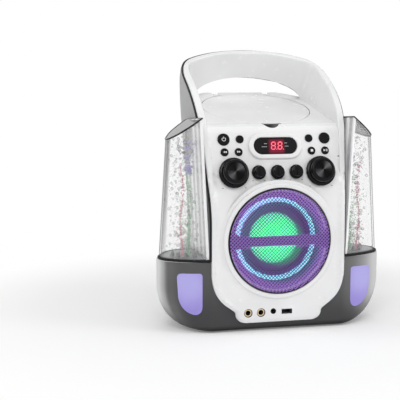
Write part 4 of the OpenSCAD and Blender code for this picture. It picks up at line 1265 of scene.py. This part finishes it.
def clear_wall_finish():
    """The clear wall, with its inner side painted: frosted with a painted glow, in upright bands of painted
    pale highlights and darker grey, and with a painted dark reflection high up at the back."""
    finish, alpha, tone = clear_finish("clear_tank_wall", 0.05, 0.95, (0.012, 0.013, 0.015))
    x, y, z = finish.parts()
    from_inner = finish.start.math("ABSOLUTE", x) - (TANK_IN_X - IN_LEAN * TANK_FOOT) * MM - z * IN_LEAN
    frosted = from_inner.between(FROST_FROM, FROST_TO)
    bands = finish.start.make(
        "ShaderNodeTexWave",
        {"bands_direction": "Y"},
        {"Vector": finish.place, "Scale": 15.0, "Distortion": 1.0, "Detail": 2.0, "Detail Scale": 0.6},
        output=1,
    )
    finish.set("Alpha", finish.start.math("MAXIMUM", alpha, frosted * FROST_ALPHA))
    wobble = finish.noise(45.0) * 0.02
    # A painted dark reflection high up at the back, and upright bands of painted pale highlights.
    dark_reflection_mask = (z + wobble).between(*DARK_REFLECTION_Z) * (y + wobble).between(*DARK_REFLECTION_Y)
    bands = bands.between(0.1, 0.9) * (1 - dark_reflection_mask)
    pale = bands.paint(dark_reflection_mask.paint((0.28, 0.28, 0.285), (0.02, 0.02, 0.02)), (0.95, 0.95, 0.95))
    finish.set("Base Color", frosted.paint(tone, pale))
    finish.glow((1, 1, 1), frosted * FROST_PAINTED_GLOW)
    return finish


clear_wall = clear_wall_finish()
for side_name, sign in (("left", -1), ("right", 1)):
    shape = (tank_shape[0] * (sign, 1, 1), tank_shape[1])
    tank = piece(
        f"{side_name}_tank_shell",
        shape,
        clear_wall,
        stands_for=(f"{side_name}_tank",),
        inner=(sign * 115, 45, 160),
        crease=60,
    )
    thicken(tank, 2.2)


# %% The welded seam round each roof
def bead(loops, radius, n=8):
    """A round bead along a closed loop of points, with its sections across the loop."""
    along_loop = np.roll(loops, -1, 0) - np.roll(loops, 1, 0)
    along_loop /= np.linalg.norm(along_loop, axis=1, keepdims=True)
    side = np.cross(along_loop, (0, 0, 1.0))
    side /= np.linalg.norm(side, axis=1, keepdims=True)
    rise_way = np.cross(side, along_loop)
    a = (np.linspace(0, 2 * np.pi, n + 1))[:, None, None]
    return grid(loops + radius * (np.cos(a) * side + np.sin(a) * rise_way), wrap=True)


seam = moulded("smoky_seam", (0.006, 0.006, 0.007), 0.2, Specular_IOR_Level=0.3)
seams = join(bead(tank_points(tank_loop, 0.997, 0.2), 0.95), bead(tank_points(tank_loop, 0.992, 5.5), 0.5))
piece("tank_roof_seams", mirrored(seams), seam, merge=0.001)

# %% Seals under the tanks
SEAL = 1.8
seal_t = np.linspace(0, 2 * np.pi, 13)[:-1]
seal_out = tank_loop - tank_loop.mean(0)
seal_out /= np.linalg.norm(seal_out, axis=1, keepdims=True)
seal_rows = np.stack(
    [
        np.concatenate(
            [
                tank_loop + seal_out * (SEAL * math.cos(a) * 0.9),
                np.full((len(tank_loop), 1), TANK_FOOT + SEAL * math.sin(a)),
            ],
            1,
        )
        for a in seal_t
    ]
)
seal_rows = np.concatenate([seal_rows, seal_rows[:1]])
piece(
    "tank_seals", mirrored(grid(seal_rows, wrap=True)), matt_black,
    stands_for=("tank_gaskets",),
)

# %% [markdown]
# ## Water in motion
# The lit water is what one sees in the tanks: three thin jets of drops, red, green and violet, and
# loose bubbles round them. Each is a merged cloud of small balls. The places come from a seeded
# generator, so every run draws the same cloud.

# %% Drops and bubbles
BALL = bmesh.new()
bmesh.ops.create_icosphere(BALL, subdivisions=1, radius=1.0)
ball_points = np.array([v.co[:] for v in BALL.verts])
ball_faces = np.array([[v.index for v in f.verts] for f in BALL.faces])
BALL.free()


def balls(centres, radii):
    """One small ball at each centre, as arrays without a loop."""
    points = centres[:, None] + ball_points * radii[:, None, None]
    starts = (np.arange(len(centres)) * len(ball_points))[:, None, None]
    return points.reshape(-1, 3), (ball_faces + starts).reshape(-1, 3).tolist()


def jet(rng, x, y, low, high, count, spread, size):
    """Drops along a wavy upright line: x + spread * normal noise, denser at the foot."""
    z = low + (high - low) * rng.random(count) ** 1.25
    wave = 1.6 * np.sin(z / 13.0 + x)
    widen = 0.4 + (z - low) / (high - low)
    places = np.stack(
        [
            x + wave + rng.normal(0, spread, count) * widen,
            y + rng.normal(0, spread, count) * widen,
            z,
        ],
        1,
    )
    return places, size * (0.6 + 0.8 * rng.random(count))


def glowing(name, colour, strength):
    """A drop of lit water: a wet surface with a soft glow that flickers a little in tone."""
    finish = Finish(name, colour, 0.15, Specular_IOR_Level=0.3)
    facing = finish.start.make("ShaderNodeLayerWeight", None, {"Blend": 0.5}, output=1)
    tone = facing.between(0.75, 0.25) * 0.7 + finish.noise(300.0) * 0.3
    pale = tuple(0.45 + 0.55 * c for c in colour)
    finish.set("Base Color", tone.paint(colour, pale))
    finish.glow(tone.paint(colour, pale), strength)
    finish.set("Alpha", facing.between(0.0, 0.5) * 0.5 + 0.45)
    return finish


pink_water = glowing("pink_lit_water", (0.42, 0.01, 0.08), 0.22)
green_water = glowing("green_lit_water", (0.01, 0.26, 0.05), 0.22)
violet_water = glowing("violet_lit_water", (0.08, 0.04, 0.32), 0.22)
bubble, bubble_alpha, bubble_tone = clear_finish("clear_bubble", 0.10, 0.95, (0.015, 0.015, 0.02), 0.25, 0.7)
bubble.set("Alpha", bubble_alpha)
bubble.set("Base Color", bubble_tone)
rng = np.random.default_rng(7)
N_BUBBLES = 1500


def in_tank(places, margin=5.0):
    """True for places inside the tank with a margin to its walls."""
    loop = tank_loop + (tank_loop.mean(0) - tank_loop) * 0.16
    x, y, z = places.T
    left = TANK_IN_X + IN_LEAN * (z - TANK_FOOT)
    right = TANK_OUT_X - OUT_LEAN * (z - TANK_FOOT)
    full_x = TANK_IN_X + (x - left) * (TANK_OUT_X - TANK_IN_X) / (right - left)
    roof = roof_z(full_x, y)
    return inside(np.stack([full_x, y], 1), loop) & (z > TANK_FOOT + 3) & (z < roof - margin)


for side_name, sign in (("left", -1), ("right", 1)):
    streams = {
        "pink": (
            pink_water,
            [jet(rng, 117, 34, 94, 208, 230, 1.0, 0.8), jet(rng, 117, 34, 94, 130, 150, 4, 0.5)],
        ),
        "green": (
            green_water,
            [jet(rng, 106, 36, 94, 200, 300, 1.6, 0.75), jet(rng, 110, 36, 94, 170, 420, 5, 0.5)],
        ),
        "violet": (violet_water, [jet(rng, 105, 40, 196, 236, 46, 3.4, 1.7)]),
    }
    for colour_name, (finish, made) in streams.items():
        centres, radii = (np.concatenate(k) for k in zip(*made))
        good = in_tank(centres)
        vertices, faces = balls(centres[good], radii[good])
        piece(
            f"{side_name}_{colour_name}_drops", (vertices * (sign, 1, 1), faces), finish,
            merge=0.0005,
        )
    centres = np.stack(
        [rng.uniform(92, 140, N_BUBBLES), rng.uniform(14, 84, N_BUBBLES), rng.uniform(94, 240, N_BUBBLES)], 1
    )
    near = np.exp(-(((centres[:, 0] - 113) / 15) ** 2)) > rng.random(N_BUBBLES)
    good = in_tank(centres) & near
    radii = 0.5 + 2.0 * rng.random(N_BUBBLES) ** 4
    vertices, faces = balls(centres[good], radii[good])
    piece(
        f"{side_name}_bubbles", (vertices * (sign, 1, 1), faces), bubble, merge=0.0005,
        crease=180,
    )
print("tanks filled with drops and bubbles")

# %% [markdown]
# ## The lit loudspeaker
# The grille is a fine diagonal mesh. It is modelled as thin bars, because its depth is what lets the
# coloured light through from behind: violet from the cup, blue from a ring and green from the cone.
# The wires catch that light, so their own tone is painted by their distance from the axis.


# %% Lights in the loudspeaker
def speaker_light(name, stops, strength, reach, roughness=0.6):
    """A surface lit by hidden lamps: its glow is a ramp over the distance from the speaker's axis."""
    finish = Finish(name, stops[0][1], roughness)
    x, _, z = finish.parts()
    from_axis = (x * x + (z - SPEAKER_Z * MM) ** 2.0) ** 0.5
    ramp = (from_axis * (1 / (reach * MM))).make(
        "ShaderNodeValToRGB", {"stops": stops}, {0: from_axis * (1 / (reach * MM))}
    )
    finish.set("Base Color", ramp)
    finish.glow(ramp, strength)
    finish.bump(finish.noise(500.0), 0.00005)
    return finish


VIOLET_DEEP = (0.07, 0.025, 0.13)
WIRE_DARK, WIRE = (0.075, 0.037, 0.15), (0.24, 0.12, 0.42)
mesh_violet = speaker_light(
    "violet_lit_mesh",
    [
        (0.0, (0.04, 0.26, 0.13)), (0.38, (0.04, 0.20, 0.13)), (0.48, WIRE_DARK), (0.62, WIRE_DARK),
        (0.74, (0.07, 0.11, 0.20)), (0.84, WIRE), (1.0, (0.19, 0.09, 0.33)),
    ],
    0.55,
    GRILLE_R,
    0.4,
)
# Wires in a level band across the speaker's middle are painted a paler violet, as light they catch there.
_, _, wire_z = mesh_violet.parts()
over_bar = mesh_violet.start.math("ABSOLUTE", wire_z - SPEAKER_Z * MM).between(0.009, 0.007)
for socket_name in ("Base Color", "Emission Color"):
    ramp = Flow(mesh_violet.tree, mesh_violet.surface.inputs[socket_name].links[0].from_socket)
    mesh_violet.set(socket_name, over_bar.paint(ramp, (0.17, 0.09, 0.32)))
bar_violet = speaker_light(
    "violet_lit_bar", [(0.0, (0.03, 0.012, 0.06)), (1.0, (0.04, 0.016, 0.08))], 0.4, GRILLE_R
)
cup_violet = speaker_light("violet_lit_cup", [(0.0, VIOLET_DEEP), (1.0, VIOLET_DEEP)], 0.3, GRILLE_R)
ring_blue = speaker_light(
    "blue_lit_ring",
    [(0.0, (0.10, 0.35, 0.50)), (0.90, (0.16, 0.52, 0.66)), (1.0, (0.30, 0.72, 0.82))],
    1.25,
    52.0,
)
cone_green = speaker_light(
    "green_lit_cone",
    [
        (0.0, (0.10, 0.95, 0.38)), (0.72, (0.10, 0.95, 0.38)),
        (0.9, (0.10, 0.70, 0.36)), (1.0, (0.06, 0.16, 0.18)),
    ],
    1.3,
    33.0,
)
surround_dark = speaker_light(
    "lit_surround",
    [(0.0, (0.05, 0.2, 0.15)), (0.8, (0.05, 0.10, 0.12)), (1.0, (0.07, 0.03, 0.12))],
    0.5,
    42.0,
)

# %% Grille mesh
MESH_PITCH, MESH_WIRE, DOME = 3.2, 1.0, 2.0
mesh_r = GRILLE_R - 1.0
offsets = np.arange(-math.floor(mesh_r / MESH_PITCH), math.floor(mesh_r / MESH_PITCH) + 1) * MESH_PITCH
half_chord = np.sqrt(mesh_r**2 - offsets**2)
run = np.linspace(-1, 1, 13)


def mesh_layer(angle, low, high):
    """Bars in one direction: each follows a shallow dome and is a box in section."""
    c, s = math.cos(angle), math.sin(angle)
    along = half_chord[:, None] * run
    shapes = []
    corners = []
    for side_shift, level_z in ((-0.5, low), (0.5, low), (0.5, high), (-0.5, high)):
        across_bar = offsets[:, None] + side_shift * MESH_WIRE + 0 * along
        dome = -DOME * (along**2 + offsets[:, None] ** 2) / GRILLE_R**2
        u, v = along * c - across_bar * s, along * s + across_bar * c
        corners.append(speaker_seat.at(u, v, level_z + dome))
    corners = np.stack(corners, 2)
    for bar in corners:
        shapes += [grid(bar, wrap=True), cap(bar[0]), cap(bar[-1])]
    return join(*shapes)


piece(
    "grille_mesh",
    join(
        mesh_layer(math.radians(45), GRILLE_FRONT - 0.5, GRILLE_FRONT),
        mesh_layer(math.radians(135), GRILLE_FRONT - 1.0, GRILLE_FRONT - 0.5),
    ),
    mesh_violet,
    stands_for=("speaker_grille",),
    merge=0.001,
)
piece(
    "grille_edge_ring",
    turned(
        [(66.0, -3), (66.0, 3.2), (65.7, 3.9), (65.0, 4.2), (64.4, 3.9), (64.2, 3.3), (64.2, -3), (66.0, -3)],
        speaker_seat,
        120,
    ),
    black_line,
)
ring_profile = np.concatenate(
    [
        [(76.0, -0.6), (74.5, -0.05), (73.2, 0.05)],
        bend((72.7, 0.1), (72.2, 0.25), (72.0, 1.0), 5),
        bend((72.0, 2.2), (71.9, 3.0), (71.0, 3.0), 5),
        bend((67.3, 3.0), (66.5, 3.0), (66.5, 2.2), 5),
        [(66.5, -3.1), (61.2, -3.1)],
    ]
)
piece("speaker_ring", turned(ring_profile, speaker_seat, 144), white, inner=(0, 12, SPEAKER_Z))
piece(
    "speaker_cup",
    turned([(61.2, -3.1), (61.2, -18.4), (60.4, -19.1), (43.2, -19.1), (43.0, -21.6)], speaker_seat, 96),
    cup_violet,
)

# %% [markdown]
# ## Controls
# Buttons are low domes with printed symbols, and knobs are turned shapes. The big knobs carry a
# metallic cap with fine turning marks in bump. The bright wedges that spun metal shows are a painted
# highlight in the cap's colour, by angle.


# %% Buttons and their symbols
def button_profile(r):
    """A cap with a rounded rim and a shallow dish, and a skirt below the panel."""
    return np.concatenate(
        [
            [(0, 1.75), (r * 0.45, 1.8), (r * 0.8, 1.95)],
            bend((r - 1.0, 2.0), (r, 2.0), (r, 1.1), 6),
            [(r, -4.0), (r + 1.1, -4.0), (r + 1.1, -4.6), (0, -4.6)],
        ]
    )


def arc_quads(r, width, start, end, n=14):
    """Quads along an arc of a ring."""
    t = np.radians(np.linspace(start, end, n))
    inner_arc = np.stack([np.cos(t), np.sin(t)], 1) * (r - width / 2)
    outer_arc = np.stack([np.cos(t), np.sin(t)], 1) * (r + width / 2)
    return [
        np.array([inner_arc[k], outer_arc[k], outer_arc[k + 1], inner_arc[k + 1]]) for k in range(n - 1)
    ]


def bar(x, y, w, h):
    """A rectangle centred on x, y."""
    return np.array([(-w, -h), (w, -h), (w, h), (-w, h)]) / 2 + (x, y)


def arrow(x, w, h):
    """A triangle whose point is at x + w."""
    return np.array([(x, -h / 2), (x + w, 0), (x, h / 2)])


SYMBOLS = {
    "power_button": [*arc_quads(2.3, 0.7, 125, 415), bar(0, 1.9, 0.75, 2.6)],
    "repeat_button": [],
    "source_button": [],
    "light_button": [],
    "previous_button": [-arrow(-0.2, 2.3, 2.9), -arrow(-2.4, 2.3, 2.9)],
    "next_button": [arrow(-2.4, 2.3, 2.9), arrow(-0.2, 2.3, 2.9)],
    "stop_button": [bar(0, 0, 3.1, 3.1)],
    "play_button": [arrow(-2.5, 2.4, 3.0), bar(0.9, 0, 0.7, 3.0), bar(2.2, 0, 0.7, 3.0)],
}
print_white = moulded("printed_white", (0.8, 0.8, 0.8), 0.45)
for name, (x, z, r) in BUTTONS.items():
    seat = panel_seat(x, z)
    piece(
        f"{name}_cap", turned(button_profile(r), seat, 48), gloss_black, f"{name}_body",
        stands_for=(name,),
    )
    if SYMBOLS[name]:
        piece(
            f"{name}_symbol", plates(SYMBOLS[name], seat, 1.6, 2.02), print_white,
            f"{name}_body", merge=0.0005,
        )


# %% Knobs
def turned_cap_finish():
    """A dark spun cap: rings in bump, and a painted highlight of bright and dark wedges by angle, from the
    mesh's map.
    """
    finish = Finish("spun_cap", (0.05, 0.05, 0.052), 0.28, Metallic=0.9)
    around = finish.start.make("ShaderNodeUVMap", {"uv_map": "spin"})
    turn_share, radius, _ = finish.parts(around)
    painted_highlight_wedges = finish.start.math("SINE", turn_share * (4 * math.pi)) * 0.5 + 0.5
    finish.set("Base Color", (painted_highlight_wedges**4.0).paint((0.003, 0.003, 0.003), (0.085, 0.085, 0.09)))
    rings_height = finish.start.math("SINE", radius * (2 * math.pi / 0.55)) * 0.5 + 0.5
    finish.bump(rings_height, 0.00004)
    return finish


def add_spin_map(thing, seat):
    """A UV map with the share of a turn in U and the radius in millimetres in V."""
    mesh = thing.data
    corners = np.zeros(len(mesh.loops), int)
    mesh.loops.foreach_get("vertex_index", corners)
    places = np.zeros(len(mesh.vertices) * 3)
    mesh.vertices.foreach_get("co", places)
    places = places.reshape(-1, 3) / MM - (0, FASCIA_Y, 0) - seat.origin
    a, b = places[:, 0], places @ seat.up
    values = np.stack([np.arctan2(b, a) / (2 * np.pi), np.hypot(a, b)], 1)[corners]
    layer = mesh.uv_layers.new(name="spin")
    layer.data.foreach_set("uv", values.astype(np.float32).ravel())


def large_knob_profile(r):
    """Skirt, waist, body and a raised cap ring, all with rounded corners."""
    body = r - 3.2
    return np.concatenate(
        [
            [(0, 1.6), (r - 0.8, 1.6)],
            bend((r - 0.3, 1.7), (r, 2.0), (r, 2.8), 4),
            bend((r, 4.4), (r, 5.6), (r - 1.2, 5.9), 5),
            bend((body + 1.0, 6.2), (body + 0.1, 6.3), (body, 7.2), 5),
            bend((body - 0.4, 12.6), (body - 0.5, 14.9), (body - 2.4, 15.0), 6),
            bend((11.9, 15.1), (11.4, 15.1), (11.3, 14.3), 4),
        ]
    )


spun = turned_cap_finish()
LARGE_R, SMALL_R = 19.0, 9.0
for name, x in LARGE_KNOBS.items():
    seat = panel_seat(x, KNOB_Z)
    piece(
        f"{name}_body_ring", turned(large_knob_profile(LARGE_R), seat, 96), gloss_black,
        f"{name}_body", stands_for=(name,),
    )
    spun_cap = piece(
        f"{name}_spun_cap",
        turned([(11.35, 14.2), (11.0, 14.75), (8, 14.95), (4, 15.1), (1, 15.15), (0, 15.15)], seat, 72),
        spun,
        f"{name}_body",
        inner=tuple(seat.origin),
    )
    add_spin_map(spun_cap, seat)

small_profile = np.concatenate(
    [
        [(0, 1.6), (SMALL_R - 0.5, 1.6)],
        bend((SMALL_R - 0.2, 1.7), (SMALL_R, 2), (SMALL_R, 2.6), 4),
        bend((SMALL_R, 3.4), (SMALL_R, 4.2), (SMALL_R - 0.9, 4.4), 4),
        bend((SMALL_R - 1.5, 4.6), (SMALL_R - 1.8, 4.9), (SMALL_R - 2.0, 5.6), 4),
        bend((SMALL_R - 2.4, 9.6), (SMALL_R - 2.5, 11.0), (SMALL_R - 3.8, 11.1), 5),
        [(0, 11.2)],
    ]
)
for name, x in SMALL_KNOBS.items():
    seat = panel_seat(x, KNOB_Z)
    grip = plates([bar(0, 0, 3.0, 13.0)], seat, 9.5, 13.0)
    knob = piece(
        f"{name}_grip", join(turned(small_profile, seat, 64), grip), gloss_black,
        f"{name}_body", stands_for=(name,), merge=0.001,
    )
    round_edges(knob, 0.45, 2, 60)

# %% Small scale marks by the knobs
marks = []
for x, r in [(x, 23.4) for x in LARGE_KNOBS.values()] + [(x, 12.4) for x in SMALL_KNOBS.values()]:
    for angle in (-52, -128):
        t = math.radians(angle)
        marks.append(bar(x + r * math.cos(t), r * math.sin(t), 2.2, 0.6))
grey_print = moulded("printed_grey", (0.03, 0.03, 0.03), 0.5)
piece(
    "knob_scale_marks", plates(marks, panel_seat(0, KNOB_Z), -0.1, 0.06), grey_print,
    merge=0.0005,
)

# %% [markdown]
# ## Display
# A smoked window in a raised oval frame shows two lit digits. Each digit is the usual seven strokes,
# so the script draws strokes.

# %% Display frame, window and digits
display = panel_seat(0, DISPLAY_Z)
frame_steps = [
    (14, -0.2), (14, 1.2), (13.6, 2.4), (12.4, 3.2), (10.8, 3.5),
    (3.2, 3.5), (1.4, 3.3), (0.6, 2.6), (0.3, 1.0),
]
frame_rows = []
for extra, level_w in frame_steps:
    loop = stadium(DISPLAY_W + extra, DISPLAY_H + extra * 12 / 14, 72)
    frame_rows.append(display.at(loop[:, 0], loop[:, 1], level_w))
piece(
    "display_frame", grid(np.stack(frame_rows), wrap=True), white,
    stands_for=("display_bezel",), inner=tuple(display.at(0, 0, -40.0)),
)
window_rows = []
for inset, level_w in [(0.2, 0.8), (0.2, 2.3), (0.5, 2.6), (8, 2.75), (16, 2.8)]:
    loop = stadium(DISPLAY_W - inset, DISPLAY_H - inset, 72)
    window_rows.append(display.at(loop[:, 0], loop[:, 1], level_w))


def smoked_window():
    """Black gloss with a faint red haze where the digits shine through."""
    finish = Finish("smoked_window", (0.006, 0.006, 0.007), 0.1, Specular_IOR_Level=0.15)
    x, _, z = finish.parts()
    haze = finish.start.math("ABSOLUTE", x - 0.0012).between(0.012, 0.007)
    haze = haze * finish.start.math("ABSOLUTE", z - DISPLAY_Z * MM).between(0.010, 0.006)
    finish.set("Base Color", haze.paint((0.008, 0.008, 0.009), (0.06, 0.004, 0.012)))
    finish.glow(haze.paint((0, 0, 0), (0.16, 0.01, 0.03)), 1.0)
    finish.bump(finish.noise(50.0, 1.0), 0.00001)
    return finish


piece(
    "display_smoked_window",
    join(grid(np.stack(window_rows), wrap=True), cap(window_rows[-1])),
    smoked_window(),
    stands_for=("display_window",),
    inner=tuple(display.at(0, 0, -40.0)),
)
DIGIT_W, DIGIT_H, STROKE, SLANT = 4.8, 9.0, 1.2, 0.08


def stroke(x0, y0, x1, y1):
    """A six-sided stroke between two points, pointed at its ends."""
    a, b = np.array([x0, y0], float), np.array([x1, y1], float)
    along_stroke = (b - a) / np.linalg.norm(b - a)
    side_way = np.array([-along_stroke[1], along_stroke[0]]) * STROKE / 2
    a, b = a + along_stroke * 0.3, b - along_stroke * 0.3
    lead = along_stroke * STROKE / 2
    return np.array(
        [a, a + lead - side_way, b - lead - side_way, b, b - lead + side_way, a + lead + side_way]
    )


def digit(x):
    """All seven strokes, slanted a little to the right: x grows by SLANT times the height."""
    w, h = DIGIT_W / 2, DIGIT_H / 2
    ends = [
        (-w, h, w, h), (w, 0, w, h), (w, -h, w, 0), (-w, -h, w, -h),
        (-w, -h, -w, 0), (-w, 0, -w, h), (-w, 0, w, 0),
    ]
    made = [stroke(*four) for four in ends]
    return [s + np.stack([x + s[:, 1] * SLANT, 0 * s[:, 1]], 1) for s in made]


red_light = Finish("red_digit_light", (0.6, 0.03, 0.06), 0.4)
red_tone = red_light.noise(400.0).between(0.3, 0.7)
red_light.glow(red_tone.paint((0.85, 0.10, 0.16), (1.0, 0.25, 0.28)), 1.1)
digit_plates = digit(-2.9) + digit(5.7) + [bar(1.3, -4.5, 1.1, 1.1), bar(9.9, -4.5, 1.1, 1.1)]
piece(
    "display_digits", plates(digit_plates, display, 2.6, 2.95), red_light, merge=0.0005
)
small_marks = [
    bar(-13, 2.7, 4, 0.8), bar(-14.7, -1.2, 7, 0.8), bar(13.3, 3.2, 3.6, 0.8), bar(14.2, -0.8, 5, 0.8),
]
faint_print = moulded("faint_print", (0.35, 0.35, 0.36), 0.5)
piece("display_marks", plates(small_marks, display, 2.6, 2.86), faint_print, merge=0.0005)

# %% [markdown]
# ## Disc deck, lid and sockets
# The lid is a thin turned disc with hinge ears that reach under the deck. A crescent scoop at its
# front edge lets a finger lift it.

# %% Lid
lid_profile = np.concatenate(
    [
        [(0, 0.75), (30, 0.72), (58, 0.6), (68, 0.42)],
        bend((LID_R - 1.1, 0.34), (LID_R, 0.28), (LID_R, -0.2), 6),
        [(69.4, -2.1), (69.4, -5.5), (67.4, -5.5), (67.4, -3), (0, -3)],
    ]
)
HINGE_V, HINGE_W, HINGE_X = 74.0, -3.6, 36.0
hinge_shapes = []
for sign in (-1, 1):
    ear = plates([bar(sign * HINGE_X, (54 + HINGE_V) / 2, 7.8, HINGE_V - 54)], deck_seat, -5.4, -2.4)
    tongue_v, tongue_w = np.array([67.6, 71.6, 74.4, 67.6]), np.array([0.1, 0.1, -2.4, -2.4])
    tongue = [
        deck_seat.at(sign * HINGE_X + dx, tongue_v[::sign], tongue_w[::sign])
        for dx in (-3.9 * sign, 3.9 * sign)
    ]
    hinge_shapes += [grid(np.stack(tongue), wrap=True), cap(tongue[0]), cap(tongue[1])]
    t = np.arange(24) * 2 * np.pi / 24
    barrel_rows = [
        deck_seat.at(sign * HINGE_X + across_x, HINGE_V + r * np.cos(t), HINGE_W + r * np.sin(t))
        for across_x, r in ((-8.4, 1.2), (-4, 1.2), (-4, 1.7), (4, 1.7), (4, 1.2), (8.4, 1.2))
    ]
    hinge_shapes += [ear, grid(np.stack(barrel_rows), wrap=True), cap(barrel_rows[0]), cap(barrel_rows[-1])]
piece(
    "disc_lid_cover", join(turned(lid_profile, deck_seat, 160), *hinge_shapes), white, "lid",
    stands_for=("disc_lid",), merge=0.001,
)

# %% Other finishes for the solids that are shown as they are
steel = Finish("plated_steel", (0.62, 0.62, 0.63), 0.3, Metallic=1.0)
steel.set("Roughness", steel.noise(350.0) * 0.25 + 0.18)
steel.bump(steel.noise(800.0), 0.00002)
gold = Finish("gilt_and_black", (0.8, 0.6, 0.25), 0.25)
gold_x, gold_y, gold_z = gold.parts()
is_body = gold_y.between((FASCIA_Y + 7) * MM, (FASCIA_Y + 7.5) * MM)
beside = [gold.start.math("ABSOLUTE", gold_x - SOCKETS[name][0] * MM) for name in ("mic_1", "mic_2")]
from_socket = gold.start.math("MINIMUM", *beside) ** 2.0 + (gold_z - SOCKET_Z * MM) ** 2.0
from_socket = from_socket**0.5
on_ring = from_socket.between(0.0029, 0.0032) * from_socket.between(0.0047, 0.0044) * (1 - is_body)
gold.set("Base Color", on_ring.paint((0.012, 0.012, 0.012), (0.68, 0.55, 0.36)))
gold.set("Metallic", 1 - is_body)
gold.bump(gold.noise(700.0), 0.00002)
usb = Finish("usb_shell", (0.6, 0.6, 0.6), 0.3)
usb_x, _, usb_z = usb.parts()


def usb_box(half_w, half_h, up=0.0):
    """1 inside a rectangle of the USB socket's mouth and 0 outside it."""
    beside = usb.start.math("ABSOLUTE", usb_x - USB_X * MM).between(half_w * MM, (half_w - 0.3) * MM)
    above = usb.start.math("ABSOLUTE", usb_z - (SOCKET_Z + up) * MM).between(half_h * MM, (half_h - 0.3) * MM)
    return beside * above


# The socket's mouth is painted near black as painted shade inside it, round a white tongue.
mouth = usb_box(6.0, 2.3).paint((0.10, 0.10, 0.10), (0.004, 0.004, 0.004))
usb.set("Base Color", usb_box(5.2, 0.9, 0.5).paint(mouth, (0.8, 0.8, 0.8)))
usb.bump(usb.noise(700.0), 0.00001)
board = Finish("circuit_board", (0.02, 0.14, 0.05), 0.4)
board_tracks = board.start.make(
    "ShaderNodeTexVoronoi", {"feature": "DISTANCE_TO_EDGE"}, {"Vector": board.place, "Scale": 260.0}
)
board.set("Base Color", board_tracks.between(0.03, 0.06).paint((0.04, 0.22, 0.09), (0.012, 0.10, 0.04)))
board.bump(board_tracks.between(0.03, 0.06), 0.00003)
laminated = Finish("laminated_core", (0.3, 0.26, 0.22), 0.5, Metallic=0.4)
_, _, core_z = laminated.parts()
laminated.bump(laminated.start.math("SINE", core_z * 9000.0) * 0.5 + 0.5, 0.00005)
laminated.set("Base Color", laminated.noise(200.0).paint((0.16, 0.13, 0.10), (0.42, 0.30, 0.18)))
natural = moulded("natural_acetal", (0.75, 0.70, 0.60), 0.35)
rubber = moulded("soft_rubber", (0.02, 0.02, 0.021), 0.75, 400.0, 0.00005, grain=0.6)
mid_grey = moulded("grey_fittings", (0.22, 0.22, 0.23), 0.3)
ferrite = moulded("ferrite", (0.06, 0.06, 0.065), 0.6, 300.0, 0.00006, grain=0.5)
digit_backing = moulded("digit_block", (0.12, 0.01, 0.015), 0.4)

SHOWN = {
    white: ["deck_well"],
    matt_black: [
        "mech_chassis", "lid_clamp", "turntable", "laser_sled", "pump_housings", "mains_inlet", "aux_jack",
    ],
    natural: ["sled_gear", "motor_pinion", "left_impeller", "right_impeller"],
    steel: ["case_screws", "guide_rods", "spindle_motor", "sled_motor", "potentiometers", "heat_sink"],
    board: ["control_board", "jack_board", "lamp_boards", "main_board"],
    rubber: ["feet"],
    mid_grey: ["nozzle_plates"],
    ferrite: ["speaker_basket", "speaker_magnet"],
    laminated: ["transformer"],
    gold: ["mic_jacks"],
    usb: ["usb_port"],
    ring_blue: ["light_ring"],
    cone_green: ["speaker_cone"],
    surround_dark: ["speaker_surround"],
    bar_violet: ["lamp_bar"],
    digit_backing: ["display_module"],
}
for finish, names in SHOWN.items():
    for name in names:
        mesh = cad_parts[name].data
        mesh.materials.clear()
        mesh.materials.append(finish.material)
print("finishes given to", sum(len(names) for names in SHOWN.values()), "solids")
